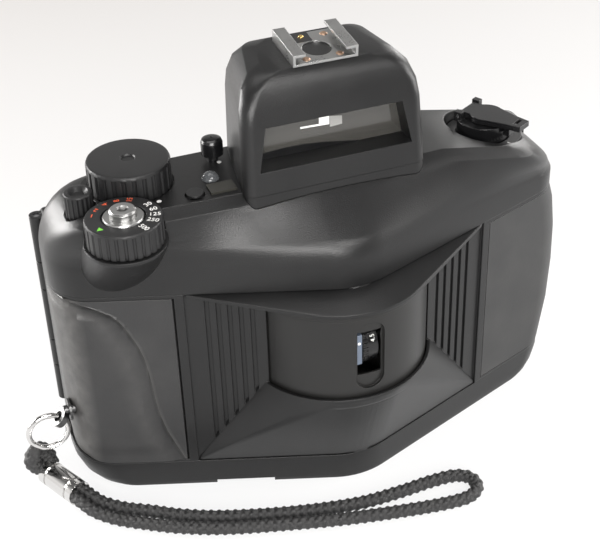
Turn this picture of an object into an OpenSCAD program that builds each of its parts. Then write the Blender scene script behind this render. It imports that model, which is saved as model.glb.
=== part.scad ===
// Panoramic camera with a rotating lens drum, for 35 mm film.
// Millimetres. +Z is up, the lens side faces -Y, and the drum turns about the Z axis.
// The origin is the mouth of the tripod socket, under the drum.

/* [Body] */
// Width across the two ends
body_w = 172; // [168:1:178]
// From the drum axis forward to where the two front flanks would meet
front_reach = 21.8; // [21:0.1:22.6]
// Angle of each front flank against the width
flank_angle = 20; // [19:0.25:20.5]
// Rounding between the two front flanks
nose_r = 25; // [15:1:30]
// Rounding of the front ends
corner_r = 15; // [12:0.5:17]
// From the drum axis back to the rear face
rear_y = 33; // [33:0.1:35]
// Rounding of the rear ends
rear_r = 7; // [6:0.5:8]
// Wall of the moulded shells
shell_wall = 2; // [1.8:0.1:2.2]
// Height of the base moulding
base_h = 10; // [9:0.5:11]
// Height of the seam under the top cover
seam_z = 76; // [75.5:0.25:77]
// Slope of the forehead above the front band, in degrees from level
brow_slope = 35; // [33:0.5:37]
// Radius of the fold between the forehead and the band
fold_r = 9; // [7:0.5:10]
// Fall of the deck to the right of the finder, in degrees
deck_slope = 11; // [9:0.5:12]
// Height of the top deck
deck_z = 104; // [103:0.5:107]
// Thickness of the rubber grips
grip_t = 1.2; // [1:0.1:1.4]
// From the middle to the inner edge of each grip
grip_x = 53.4; // [53:0.2:56]
// How far the grip at +X swells past the body
grip_bulge = 4.4; // [3:0.2:5]
// Gap that keeps fixed pieces apart
fit = 0.2; // [0.1:0.05:0.25]
// Radial gap of a running fit
run_fit = 0.05; // [0.02:0.01:0.1]
// Gap between pieces that pass each other
pass_gap = 0.4; // [0.3:0.05:0.5]

/* [Drum and lens] */
// Radius of the drum
drum_r = 28.9; // [28.5:0.1:29.2]
// Lower edge of the drum's opening in the body
drum_low_z = 41; // [40:0.25:42]
// Upper edge of the drum's opening in the body
drum_high_z = 72; // [71:0.25:72.5]
// Wall of the drum
drum_wall = 1.8; // [1.5:0.1:2.2]
// Height of the middle of the film
film_z = 56.5; // [56:0.1:57]
// Radius of the drum's axle
axle_r = 4; // [3.5:0.1:4.5]
// Radius of the lens barrel
barrel_r = 8; // [7:0.25:8.5]
// Length of the lens barrel
barrel_len = 22; // [19:0.5:23]
// Lens rise at the shifted setting
shift_rise = 3.6; // [3:0.1:4]
// Radius of the aperture wheel
wheel_r = 7.5; // [7:0.1:8]
// Width of the aperture wheel
wheel_w = 5; // [4:0.1:5.4]
// Width of the window over the wheel
slot_w = 7.8; // [7.6:0.1:8.4]
// Height of the window over the wheel
slot_h = 16; // [15:0.5:17]

/* [Film] */
// Radius of the film track behind the drum
gate_r = 31; // [30.9:0.05:31.2]
// Height of the exposed frame
frame_h = 24; // [22:0.5:26]
// Half angle of the exposed frame
frame_angle = 58; // [52:1:60]
// Height of the film room
film_room = 45; // [44.5:0.25:46]
// Plates above and below the film room
plate_t = 3; // [2.5:0.1:3.2]
// Radius of the cassette chamber
cassette_r = 12.7; // [12.6:0.05:12.8]
// Rewind axis, sideways
rewind_x = 59.3; // [59:0.1:60]
// Rewind axis, backward
rewind_y = 16.5; // [16.4:0.1:17]
// Winding axis, sideways from the middle
wind_x = 57.5; // [57:0.1:58.5]
// Winding axis, backward
wind_y = 19.5; // [19.2:0.1:19.6]
// Radius of the take-up chamber
take_up_r = 11.8; // [11.5:0.1:12]
// Radius of the film sprocket
sprocket_r = 6; // [5.8:0.05:6.1]
// Angle from the middle of the frame to the sprocket and the roller
sprocket_angle = 64; // [63:0.5:65]
// Radius of the film guide roller
roller_r = 5; // [4.5:0.1:5.5]
// Radius of the transport shafts
shaft_r = 3; // [2.8:0.1:3.2]

/* [Gears] */
// Teeth of the drum gear
drum_teeth = 48; // [44:1:50]
// Teeth of the motor pinion
pinion_teeth = 12; // [12:1:14]
// Distance from the drum axis to the motor
motor_reach = 19.8; // [19.4:0.1:20]
// Teeth of the winding gear
wind_teeth = 26; // [24:1:26]
// Teeth of the sprocket gear
sprocket_teeth = 34; // [33:1:36]
// Thickness of the gears
gear_t = 3; // [2.5:0.1:3.2]

/* [Controls] */
// Radius of the winding knob
knob_r = 12.5; // [11.5:0.1:12.6]
// Height of the winding knob
knob_h = 9; // [7:0.25:10]
// Flutes round the winding knob
knob_flutes = 26; // [22:1:32]
// Speed dial, sideways from the middle
dial_x = 65.5; // [65:0.1:66.5]
// Speed dial, forward of the drum axis
dial_y = 3.6; // [3.5:0.1:4]
// Radius of the speed dial
dial_r = 11.2; // [10.5:0.1:11.3]
// Height of the speed dial's skirt
dial_h = 8; // [6.5:0.1:8.2]
// Flutes round the speed dial
dial_flutes = 28; // [24:1:34]
// How far the dial stands above the deck
dial_rise = 3.4; // [3:0.1:4]
// Radius of the release button
button_r = 3.9; // [3.6:0.1:4]
// Travel of the release button
button_travel = 1.6; // [1.2:0.1:1.8]
// Radius of the lock knob
lock_r = 4.2; // [3.8:0.1:4.4]
// Height of the lock knob
lock_h = 7.6; // [7:0.1:9]
// Radius of the crank hub
hub_r = 8.6; // [8:0.1:9]
// Height of the crank hub
hub_h = 6.3; // [6.2:0.1:6.8]
// Depth of the crank's recess under the deck
recess_d = 8; // [7.8:0.05:8.1]
// Radius of the crank's recess
recess_r = 12.9; // [12.6:0.1:13]
// Reach of the crank's tab from its axis
crank_reach = 15.2; // [14:0.2:15.6]
// Lift of the rewind shaft
rewind_lift = 8; // [7:0.25:8.5]

/* [Viewfinder] */
// Width of the finder housing at the deck
hump_w = 55.6; // [54:0.2:57]
// Height of the finder housing
hump_h = 34.5; // [33:0.25:36]
// Front of the finder housing, forward of the drum axis
hump_front = 4; // [3.5:0.1:4.4]
// Rear of the finder housing
hump_rear = 29.5; // [28.5:0.1:30]
// Rise of the housing's roof toward the rear
roof_tilt = 5; // [4:0.2:6]
// Draw-in of the housing's rear on each side
hump_taper = 3.6; // [3:0.1:4]
// Lower width of the finder window
window_low_w = 50; // [48:0.2:50.4]
// Upper width of the finder window
window_high_w = 44.6; // [43:0.2:45.2]
// Height of the finder window
window_h = 15; // [14:0.25:15.5]
// Outer width of the accessory shoe
shoe_w = 20.2; // [20:0.05:20.4]
// Length of the accessory shoe
shoe_len = 17.2; // [16.6:0.1:18]
// Thickness of the shoe's sheet
shoe_t = 0.8; // [0.7:0.05:0.9]
// Clear height under the shoe's lips
shoe_room = 2.1; // [2:0.02:2.2]
// Clear width between the shoe's lips
shoe_gap = 12.6; // [12.5:0.05:13]

/* [Back and base] */
// Thickness of the rear door
door_t = 5; // [4.5:0.1:5.4]
// Lower edge of the door
door_low_z = 19; // [18:0.25:20]
// Upper edge of the door
door_high_z = 91; // [90:0.25:92]
// Tap radius of the tripod socket
tripod_tap_r = 2.55; // [2.5:0.05:2.6]
// Depth of the tripod socket
tripod_depth = 6.5; // [6:0.25:7]
// Thickness of the base floor
base_floor = 2.4; // [2.2:0.1:2.8]
// Radius of one battery cell
cell_r = 5.2; // [5:0.05:5.25]
// Length of one battery cell
cell_len = 44.4; // [43.6:0.2:44.8]

/* [Wrist cord] */
// Diameter of the cord
cord_d = 3.8; // [3.4:0.1:4]
// Middle radius of the strap ring
ring_r = 6.3; // [6:0.1:6.6]
// Wire radius of the strap ring
ring_wire = 0.9; // [0.8:0.05:1]
// Length of the chromed ferrule
ferrule_len = 16; // [14:0.5:18]

/* [Hidden] */
$fn = 64;
skin = 0.02;
far = 400;

// The front outline: two flanks meeting in a rounded nose, upright ends and a flat rear
arc_steps = 8;
function unit(v) = v / norm(v);
function turn(a) = a > 180 ? a - 360 : a < -180 ? a + 360 : a;
function corner_arc(p, q, s, r) =
    let (u = unit(p - q), v = unit(s - q), half = acos(u * v) / 2)
    let (c = q + unit(u + v) * r / sin(half))
    let (a = q + u * r / tan(half) - c, b = q + v * r / tan(half) - c)
    let (start = atan2(a[1], a[0]), sweep = turn(atan2(b[1], b[0]) - start))
    [for (k = [0:arc_steps])
        c + r * [cos(start + sweep * k / arc_steps), sin(start + sweep * k / arc_steps)]];
function round_corners(pts, radii) =
    let (n = len(pts))
    [for (k = [0:n - 1]) each corner_arc(pts[(k + n - 1) % n], pts[k], pts[(k + 1) % n], radii[k])];
nose_run = nose_r * tan(flank_angle / 2);
function flank_outline(left, right, reach, angle, back, end_r, tail_r) =
    round_corners(
        [[0, -reach], [right, right * tan(angle) - reach], [right, back],
            [-left, back], [-left, left * tan(angle) - reach]],
        [nose_run / tan(angle / 2), end_r, tail_r, tail_r, end_r]);
function body_outline(inset = 0, extra = 0) =
    let (w = body_w / 2 - inset, reach = front_reach - inset / cos(flank_angle))
    flank_outline(w, w + extra, reach, flank_angle, rear_y - inset,
        max(corner_r - inset, 1), max(rear_r - inset, 1));
function box_outline(front_w, back_w, front, back, r) =
    round_corners([[-front_w, front], [front_w, front], [back_w, back], [-back_w, back]], [r, r, r, r]);

// Named places
wind_pos = [-wind_x, wind_y];
rewind_pos = [rewind_x, rewind_y];
dial_pos = [-dial_x, -dial_y];
tooth_gap = 0.8;
sprocket_reach = gate_r + tooth_gap + sprocket_r;
sprocket_pos = sprocket_reach * [-sin(sprocket_angle), cos(sprocket_angle)];
roller_reach = gate_r + pass_gap + roller_r;
roller_pos = roller_reach * [sin(sprocket_angle), cos(sprocket_angle)];
motor_angle = 12;
motor_pos = motor_reach * [cos(motor_angle), sin(motor_angle)];
lock_pos = [-74.6, 12.4];
mode_pos = [-30.6, 23.2];
lamp_pos = [-34.8, 12.6];
test_pos = [-42, 5];
counter_pos = [-33.6, 5.6];
counter_axis = [-30.5, 9];
recess_z = deck_z - recess_d;
cavity_z = deck_z - shell_wall;
floor_z = film_z - film_room / 2 - plate_t;
room_low_z = film_z - film_room / 2;
room_high_z = film_z + film_room / 2;
ceiling_z = room_high_z + plate_t;
lens_z = film_z + shift_rise;
well_r = drum_r + pass_gap + 0.1;
lip_r = drum_r + 1.5;
drum_bottom_z = drum_low_z - 3;
drum_top_z = drum_high_z - pass_gap;
dial_top_z = deck_z + dial_rise;
dial_low_z = dial_top_z - dial_h;
chassis_inset = grip_t + shell_wall + fit;

function gear_module(reach, n1, n2) = 2 * reach / (n1 + n2);
drum_module = gear_module(motor_reach, drum_teeth, pinion_teeth);
wind_reach = norm(sprocket_pos - wind_pos);
wind_module = gear_module(wind_reach, wind_teeth, sprocket_teeth);
mesh_angle = atan2(sprocket_pos[1] - wind_pos[1], sprocket_pos[0] - wind_pos[0]);
drum_gear_z = floor_z - gear_t - 1;
wind_gear_z = ceiling_z + 1;

// Helpers
module at(p, z = 0) { translate([p[0], p[1], z]) children(); }
// A solid through stacked outlines, each given as [height, points]
module loft(levels) {
    n = len(levels[0][1]);
    m = len(levels);
    polyhedron(
        points = [for (l = levels, p = l[1]) [p[0], p[1], len(p) > 2 ? p[2] : l[0]]],
        faces = concat(
            [[for (k = [0:n - 1]) k]],
            [[for (k = [n - 1:-1:0]) (m - 1) * n + k]],
            [for (j = [0:m - 2], k = [0:n - 1])
                let (a = j * n + k, b = j * n + (k + 1) % n)
                each [[a, a + n, b + n], [a, b + n, b]]]));
}
module prism(low, high, pts) { translate([0, 0, low]) linear_extrude(high - low) polygon(pts); }
module post(p, low, high, r) { at(p, low) cylinder(r = r, h = high - low); }
module mirrored_pair() {
    children();
    mirror([1, 0, 0]) children();
}
// A straight-sided gear, thinned so that meshing teeth clear each other
module gear(teeth, m, thick) {
    pitch = m * teeth / 2;
    step = 360 / teeth;
    linear_extrude(thick)
        polygon([for (k = [0:teeth - 1], c = [[-0.32, -1.1], [-0.1, 0.75], [0.1, 0.75], [0.32, -1.1]])
            (pitch + c[1] * m) * [cos((k + c[0]) * step), sin((k + c[0]) * step)]]);
}
// A knob or dial: a turned profile with fluted sides
module fluted(r, h, flutes, depth, edge) {
    difference() {
        rotate_extrude()
            polygon([[0, 0], [r, 0], [r, h - edge], [r - edge * 0.3, h - edge * 0.3], [r - edge, h], [0, h]]);
        for (k = [0:flutes - 1])
            rotate(360 * k / flutes)
                translate([r + depth * 0.4, 0, -1])
                    cylinder(r = depth * 1.4, h = h + 1 - edge * 1.2, $fn = 20);
    }
}

// Shells
module front_half(x) { translate([x, -far / 2, -far / 2]) cube(far); }
module grip_band(low, high, extra) {
    difference() {
        prism(low, high, body_outline(0, extra));
        prism(low - 1, high + 1, body_outline(grip_t));
    }
}
grip_low_z = base_h + 1.2;
grip_high_z = seam_z - 1.4;
rib_low_x = 31.5;
rib_pitch = 3.2;
rib_count = 5;
rib_depth = 1;
pocket_depth = 0.9;
pocket_x = 50.5;
surround_in = 0.25;
// A wedge-shaped brow or chin between the drum's rim and the body's flanks
module drum_surround(rim_z, edge_z, rim_r, edge_t) {
    hull() {
        translate([0, 0, rim_z]) cylinder(r = rim_r, h = 1.2, $fn = 96);
        intersection() {
            prism(edge_z, edge_z + edge_t, body_outline(surround_in));
            translate([surround_in * 3 - pocket_x, -far / 2, 0])
                cube([2 * pocket_x - surround_in * 6, far / 2, far]);
        }
    }
}
module flank_frame(side) {
    translate([0, -front_reach, 0]) rotate(side * flank_angle) children();
}
module rib_pocket(side) {
    flank_frame(side)
        translate([side > 0 ? 0 : -pocket_x / cos(flank_angle), -1, base_h - 1])
            cube([pocket_x / cos(flank_angle), 1 + pocket_depth, seam_z - base_h + 2]);
}
module ribs(side) {
    for (k = [0:rib_count - 1])
        flank_frame(side)
            translate([side * (rib_low_x + k * rib_pitch) / cos(flank_angle) - 0.7, 0, base_h - 1])
                cube([1.4, pocket_depth + rib_depth, seam_z - base_h + 2]);
}
room_left_x = wind_x + take_up_r + 2;
room_right_x = rewind_x + cassette_r + 2;
module rear_opening() {
    translate([-room_left_x, rear_y - 6, room_low_z - 0.5])
        cube([room_left_x + room_right_x, far, film_room + 1]);
}
hinge_x = -(body_w / 2 - 1.8);
hinge_y = rear_y + 2.7;
knuckle_r = 2.3;
pin_r = 1.1;
body_knuckles = [[34, 44], [64, 74]];
door_knuckles = [[door_low_z + 0.6, 33.6], [44.4, 63.6], [74.4, door_high_z - 0.6]];
module body_knuckle(z) {
    difference() {
        union() {
            post([hinge_x, hinge_y], z[0], z[1], knuckle_r);
            translate([hinge_x - 0.6, rear_y - 7, z[0]]) cube([3.4, 7 + 2.7, z[1] - z[0]]);
        }
        post([hinge_x, hinge_y], z[0] - 1, z[1] + 1, pin_r);
    }
}
module front_shell() {
    color("#26262a")
        difference() {
            union() {
                difference() {
                    prism(base_h, seam_z, body_outline());
                    intersection() {
                        union() {
                            grip_band(grip_low_z - fit, grip_high_z + fit, grip_bulge + 1);
                            difference() {
                                prism(grip_low_z - fit, grip_high_z + fit, body_outline(-1));
                                prism(grip_low_z - fit, grip_high_z + fit, body_outline(grip_t));
                            }
                        }
                        union() {
                            mirrored_pair() front_half(grip_x - fit);
                        }
                        translate([-far / 2, -far + rear_y - 8, 0]) cube(far);
                    }
                    for (side = [-1, 1]) {
                        rib_pocket(side);
                        ribs(side);
                    }
                }
                drum_surround(drum_high_z, seam_z - 1 - surround_in, lip_r, 1);
                drum_surround(drum_low_z - 1.2, base_h + surround_in, lip_r, 1);
                for (z = body_knuckles) body_knuckle(z);
            }
            prism(base_h - 1, seam_z + 1, body_outline(grip_t + shell_wall));
            post([0, 0], drum_bottom_z - 1, drum_high_z, well_r);
            post(rewind_pos, room_low_z, seam_z + 1, cassette_r);
            rear_opening();
            lug_hole();
        }
}

// Top cover: stacked outlines that blend the flanked front into a flat deck
// The front turns through a fold into a straight slope up to the deck, and the ends are round
shoulder_in = 14;
right_in = 9.5;
rear_round = 3.6;
deck_reach = 0.4;
rim = 0.15;
fold_turn = 90 - brow_slope;
fold_high = fold_r * sin(fold_turn);
fold_deep = fold_r * (1 - cos(fold_turn));
slope_high = (front_reach - deck_reach - fold_deep) * tan(brow_slope);
shoulder_h = fold_high + slope_high;
brow_z = deck_z - rim - shoulder_h;
fold_steps = 5;
slope_steps = 7;
slope_turn = asin(fold_high / shoulder_h);
// Heights of the levels above the brow, closer together in the fold and under the deck
shoulder_heights = concat(
    [for (k = [1:fold_steps]) fold_r * sin(fold_turn * k / fold_steps)],
    [for (k = [1:slope_steps]) shoulder_h * sin(slope_turn + (90 - slope_turn) * k / slope_steps)]);
function brow_drop(h) =
    h < fold_high ? fold_r - sqrt(fold_r * fold_r - h * h) : fold_deep + (h - fold_high) / tan(brow_slope);
function shoulder_level(h, i) =
    let (rise = min(1, h / shoulder_h), t = asin(rise), inward = 1 - cos(t))
    let (w = body_w / 2 - shoulder_in * inward - i, w_right = w - right_in * sin(t / 2))
    let (reach = front_reach - brow_drop(h))
    let (angle = max(2, atan((reach - 2) / grip_x)))
    [brow_z + h - i * rise,
     flank_outline(w, w_right, reach - i, angle, rear_y - rear_round * inward - i,
        corner_r - 6 * inward - i, rear_r - i)];
// Right of the fold the deck falls away, and the levels under it close up with it
fold_x = 36.6;
deck_fall = tan(deck_slope);
slope_mid_z = deck_z - slope_high / 2;
function on_edge(p, q, x) = p + (q - p) * (x - p[0]) / (q[0] - p[0]);
function between(p, q, n) = [for (k = [1:n - 1]) p + (q - p) * k / n];
function folded(pts, z) =
    let (front = arc_steps, rear = 3 * arc_steps + 2, last = len(pts) - 1)
    let (a = on_edge(pts[front], pts[front + 1], fold_x), b = on_edge(pts[rear], pts[rear + 1], fold_x))
    let (all = concat(
        [for (k = [0:front]) pts[k]], between(pts[front], a, 4), [a], between(a, pts[front + 1], 3),
        [for (k = [front + 1:rear]) pts[k]], [b],
        [for (k = [rear + 1:last]) pts[k]], between(pts[last], pts[0], 7)))
    let (share = min(1, max(0, z - seam_z) / (slope_mid_z - seam_z)))
    [for (p = all) [p[0], p[1], z - deck_fall * max(0, p[0] - fold_x) * share]];
module top_form(i, low) {
    levels = concat(
        [[low, body_outline(i)], [brow_z - i / 4, body_outline(i)]],
        [for (h = shoulder_heights) shoulder_level(h, i)]);
    rim_outline = folded(levels[len(levels) - 1][1], 0);
    difference() {
        loft(concat(
            [for (l = levels) [l[0], folded(l[1], l[0])]],
            [[deck_z + 1, [for (p = rim_outline) [p[0], p[1]]]]]));
        translate([-far / 2, -far / 2, deck_z - i]) cube(far);
        translate([fold_x, -far / 2, deck_z - i]) rotate([0, deck_slope, 0]) cube(far);
    }
}
dial_boss_r = dial_r + 0.9;
module dial_boss() {
    hull() {
        at(dial_pos, dial_low_z - 1.3) cylinder(r = dial_boss_r, h = 1, $fn = 48);
        at([-dial_x, corner_r], seam_z + 2) cylinder(r = corner_r * 0.8, h = 0.5, $fn = 48);
    }
}
module top_posts() {
    post(rewind_pos, recess_z - shell_wall, deck_z - 1.2, recess_r + 1.6);
    post(dial_pos, dial_low_z - 5, dial_low_z - 0.3, collar_r + 1.6);
    post(lock_pos, deck_z - 6, deck_z - 3, lock_r + 1.4);
}
module top_cover() {
    color("#2a2a2d")
        difference() {
            union() {
                top_form(0, seam_z);
                dial_boss();
            }
            difference() {
                top_form(shell_wall, seam_z - 1);
                top_posts();
            }
            post(rewind_pos, recess_z, deck_z + 1, recess_r);
            post(rewind_pos, recess_z - 9, recess_z + 1, shaft_r + run_fit);
            post(wind_pos, cavity_z - 9, deck_z + 1, shaft_r + run_fit);
            post(wind_pos, deck_z - 1, deck_z + 9, knob_r + pass_gap);
            post(dial_pos, dial_low_z - 0.3, deck_z + 9, dial_boss_r + 0.1);
            post(dial_pos, dial_low_z - 9, dial_low_z + 1, collar_r);
            post(lock_pos, deck_z - 3, deck_z + 9, lock_r + 0.6);
            post(lock_pos, deck_z - 9, deck_z, 1.5 + run_fit);
            post(mode_pos, cavity_z - 1, deck_z + 1, 1.6 + run_fit);
            post(test_pos, cavity_z - 1, deck_z + 1, 1.3 + run_fit);
            post(test_pos, deck_z - 0.9, deck_z + 1, test_r + pass_gap);
            post(lamp_pos, cavity_z - 1, deck_z + 1, 1.8);
            at(counter_pos, cavity_z - 1) translate([-3.2, -2, 0]) cube([6.4, 4, 9]);
            at(counter_axis, cavity_z - 1) cylinder(r = 1.2, h = 1.8);
            rear_opening();
            finder_well();
        }
}
module finder_well() {
    translate([-hump_w / 2 + 5, 4, cavity_z - 4]) cube([hump_w - 10, 20, 9]);
}

// Base with a finger notch, the tripod socket and the battery hatch
base_edge = 3;
base_front = 0.3;
// The base's lower edge: tight along the front, drawn in at the ends
function base_outline(ends, front) =
    let (w = body_w / 2 - ends, reach = front_reach - front / cos(flank_angle))
    flank_outline(w, w, reach, flank_angle, rear_y - front, corner_r, rear_r);
hatch_x = -20;
hatch_w = 45;
hatch_y = 6.2;
hatch_len = 22.6;
hatch_t = 1.8;
hatch_pin_y = hatch_y + hatch_len - 1.6;
hatch_pin_z = 1.3;
hatch_pin_r = 0.7;
cell_x = hatch_x - hatch_w / 2;
cell_y = hatch_y + 5.6;
cell_pad_t = (hatch_w - cell_len) / 2 + pass_gap;
module hatch_pin(r, over) {
    translate([cell_x - hatch_w / 2 - over, hatch_pin_y, hatch_pin_z])
        rotate([0, 90, 0]) cylinder(r = r, h = hatch_w + 2 * over);
}
// End walls of the cell box, each with a pad that presses on the cells
module cell_walls() {
    for (side = [-1, 1])
        translate([cell_x + side * (hatch_w / 2 + pass_gap + 1), cell_y + cell_r, base_floor - skin]) {
            translate([-1, -8, 0]) cube([2, 16, 18]);
            translate([-side * (1 + cell_pad_t / 2), 0, 10]) cube([cell_pad_t, 12, 12], center = true);
        }
}
module base_form() {
    loft([[0, base_outline(base_edge * 2.2, base_front)], [base_edge * 0.4, base_outline(base_edge * 1.4, 0)],
        [base_edge * 1.2, base_outline(base_edge * 0.6, 0)], [base_h - 2, body_outline()],
        [base_h, body_outline()]]);
}
module base_plate() {
    color("#202023")
        difference() {
            union() {
                difference() {
                    base_form();
                    prism(base_floor, base_h + 1, body_outline(base_edge + 1));
                }
                post([0, 0], base_floor - skin, tripod_depth + 2.5, 9);
                cell_walls();
            }
            post([0, 0], -1, tripod_depth + 1.2, 6.5);
            translate([hatch_x - hatch_w - pass_gap, hatch_y - pass_gap, -1])
                cube([hatch_w + 2 * pass_gap, hatch_len + 2 * pass_gap, base_floor + 2]);
            hatch_pin(hatch_pin_r + run_fit, 2.2);
            flank_frame(-1) translate([-45.4 / cos(flank_angle), -1, -1]) cube([19, 4.2, 2.4]);
        }
}
module tripod_bush() {
    color("#b9b4a6")
        difference() {
            post([0, 0], 0, tripod_depth + 1.2, 6.5);
            post([0, 0], -1, tripod_depth, tripod_tap_r);
        }
}
cell_pitch = 2 * cell_r;
module battery_door() {
    color("#1c1c1f")
        difference() {
            union() {
                translate([hatch_x - hatch_w, hatch_y, 0.1]) cube([hatch_w, hatch_len - 1.6, hatch_t]);
                hatch_pin(1.2, -6);
                hatch_pin(hatch_pin_r, 1.8);
            }
            for (k = [0:4])
                translate([cell_x - 6, hatch_y + 2 + 1.6 * k, -0.5]) cube([12, 0.8, 1]);
        }
}
module battery_cells() {
    color("#8f8a7d")
        for (row = [0, 1], layer = [0, 1])
            translate([cell_x - cell_len / 2, cell_y + row * cell_pitch,
                    base_floor + cell_r + cell_pitch * layer])
                rotate([0, 90, 0]) cylinder(r = cell_r, h = cell_len);
}
module drive_motor() {
    color("#9a9a9e")
        difference() {
            union() {
                post(motor_pos, base_floor, drum_gear_z - 1.2, 7.5);
                post(motor_pos, base_floor, drum_gear_z, 3);
            }
            post(motor_pos, drum_gear_z - 6, drum_gear_z + 1, 1 + run_fit);
        }
}
module motor_pinion() {
    color("#c9b27a")
        at(motor_pos, drum_gear_z + pass_gap)
            rotate(motor_angle + 180 + 180 / pinion_teeth) {
                gear(pinion_teeth, drum_module, gear_t);
                translate([0, 0, -5]) cylinder(r = 1, h = 6);
            }
}
module circuit_board() {
    color("#2f5a3a")
        translate([34, 14, base_floor]) {
            cube([34, 1.6, 24]);
            for (k = [0:2]) translate([4 + 10 * k, -2.4, 8]) cube([6, 2.4, 7]);
        }
}

// Rubber grips
// The left grip stands in columns along the body's outline, and swells where the palm closes round it
flank_columns = 10;
grip_rows = 22;
palm_rise = 2.4;
palm_blend = 5;
// Height against the distance from the inner edge to the swell's edge
palm_edge = [[11, 2], [14, 3.6], [22, 6.4], [30, 8.2], [39, 9.4], [49, 10.6],
    [56, 12.2], [62.5, 14.6], [67, 18], [70, 22.5], [73, 31]];
grip_back_y = rear_y - 8 - fit;
grip_corner = let (w = body_w / 2 - grip_t, reach = front_reach - grip_t / cos(flank_angle))
    corner_arc([0, -reach], [-w, w * tan(flank_angle) - reach], [-w, rear_y], corner_r - grip_t);
flank_run = (-grip_corner[0][0] - grip_x) / cos(flank_angle);
grip_start = grip_corner[0] + flank_run * [cos(flank_angle), -sin(flank_angle)];
corner_run = corner_r * (90 - flank_angle) * PI / 180;
function facing(a) = [cos(a), sin(a)];
// Each column: place on the shell, direction outward, distance from the inner edge
grip_places = concat(
    [for (k = [0:flank_columns - 1]) let (t = k / flank_columns)
        [grip_start + (grip_corner[0] - grip_start) * t, facing(270 - flank_angle), flank_run * t]],
    [for (k = [0:arc_steps]) let (t = k / arc_steps)
        [grip_corner[k], facing(270 - flank_angle - (90 - flank_angle) * t), flank_run + corner_run * t]],
    [[[grip_corner[arc_steps][0], grip_back_y], facing(180), flank_run + corner_run + 5]]);
function ease(t) = let (u = min(1, max(0, t))) u * u * (3 - 2 * u);
function palm(s, z) =
    palm_rise * ease((s - lookup(z, palm_edge)) / palm_blend + 0.3) * (1 - 0.4 * ease((s - 14) / 16)) *
    (1 - ease((s - 28) / 9)) * (0.4 + 0.6 * ease((z - grip_low_z) / 7)) -
    0.6 * exp(-pow((s - 28) / 3, 2) - pow((z - 52) / 6, 2)) -
    0.8 * ease((s - 26) / 8) * (1 - ease((z - grip_low_z) / 14));
module left_grip() {
    color("#1b1b1c")
        difference() {
            loft([for (j = [0:grip_rows])
                let (z = grip_low_z + (grip_high_z - grip_low_z) * j / grip_rows)
                [z, concat(
                    [for (c = grip_places) c[0]],
                    [for (k = [len(grip_places) - 1:-1:0])
                        let (c = grip_places[k]) c[0] + c[1] * (grip_t + palm(c[2], z))])]]);
            lug_hole();
        }
}
// Share of the right grip's height against its share of the bulge
right_swell = [[0, 0.1], [0.25, 0.8], [0.5, 1], [0.72, 0.9], [0.9, 0.5], [1, 0]];
module right_grip() {
    color("#1b1b1c")
        intersection() {
            difference() {
                loft([for (l = right_swell)
                    [grip_low_z + (grip_high_z - grip_low_z) * l[0], body_outline(0, grip_bulge * l[1])]]);
                prism(grip_low_z - 1, grip_high_z + 1, body_outline(grip_t));
            }
            front_half(grip_x);
            translate([-far / 2, -far + rear_y - 8 - fit, 0]) cube(far);
        }
}

// Chassis: film room, film track, bearing seats
bearing_r = 7;
module pie(angle, r) {
    polygon(concat([[0, 0]], [for (k = [-12:12]) r * [sin(angle * k / 12), cos(angle * k / 12)]]));
}
module film_hollow() {
    difference() {
        union() {
            translate([-wind_x, 0]) square([wind_x + rewind_x, far]);
            translate([-wind_x, wind_y]) circle(take_up_r);
            translate([-wind_x - take_up_r, wind_y]) square([take_up_r + 9, far]);
            translate([rewind_x, rewind_y]) circle(cassette_r);
            translate([rewind_x - 9, rewind_y]) square([cassette_r + 9, far]);
        }
        circle(gate_r, $fn = 96);
        translate([-far / 2, -far]) square([far, far + 6]);
        for (side = [-1, 1])
            translate([side * 48 - 5.5, 0]) square([11, 8]);
    }
}
module chassis() {
    color("#37373b")
        difference() {
            prism(floor_z, ceiling_z, body_outline(chassis_inset));
            translate([0, 0, room_low_z]) linear_extrude(film_room) film_hollow();
            post([0, 0], room_low_z, room_high_z, well_r);
            translate([0, 0, film_z - frame_h / 2]) linear_extrude(frame_h) pie(frame_angle, gate_r + 0.6);
            post([0, 0], floor_z - 1, ceiling_z + 1, bearing_r);
            post(wind_pos, floor_z + 1, ceiling_z + 1, shaft_r + run_fit);
            post(sprocket_pos, floor_z + 1, ceiling_z + 1, shaft_r - 1 + run_fit);
            post(roller_pos, floor_z + 1, ceiling_z - 1, 1.5 + run_fit);
            post(rewind_pos, room_high_z - 1, ceiling_z + 1, shaft_r + run_fit);
            post(rewind_pos, floor_z - 1, room_low_z + 1, 4);
        }
}
module bearing(low) {
    difference() {
        post([0, 0], low, low + plate_t, bearing_r);
        post([0, 0], low - 1, low + plate_t + 1, axle_r + run_fit);
    }
}
module upper_bearing() { color("#b8bcc0") bearing(room_high_z); }
module lower_bearing() { color("#b8bcc0") bearing(floor_z); }

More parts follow.
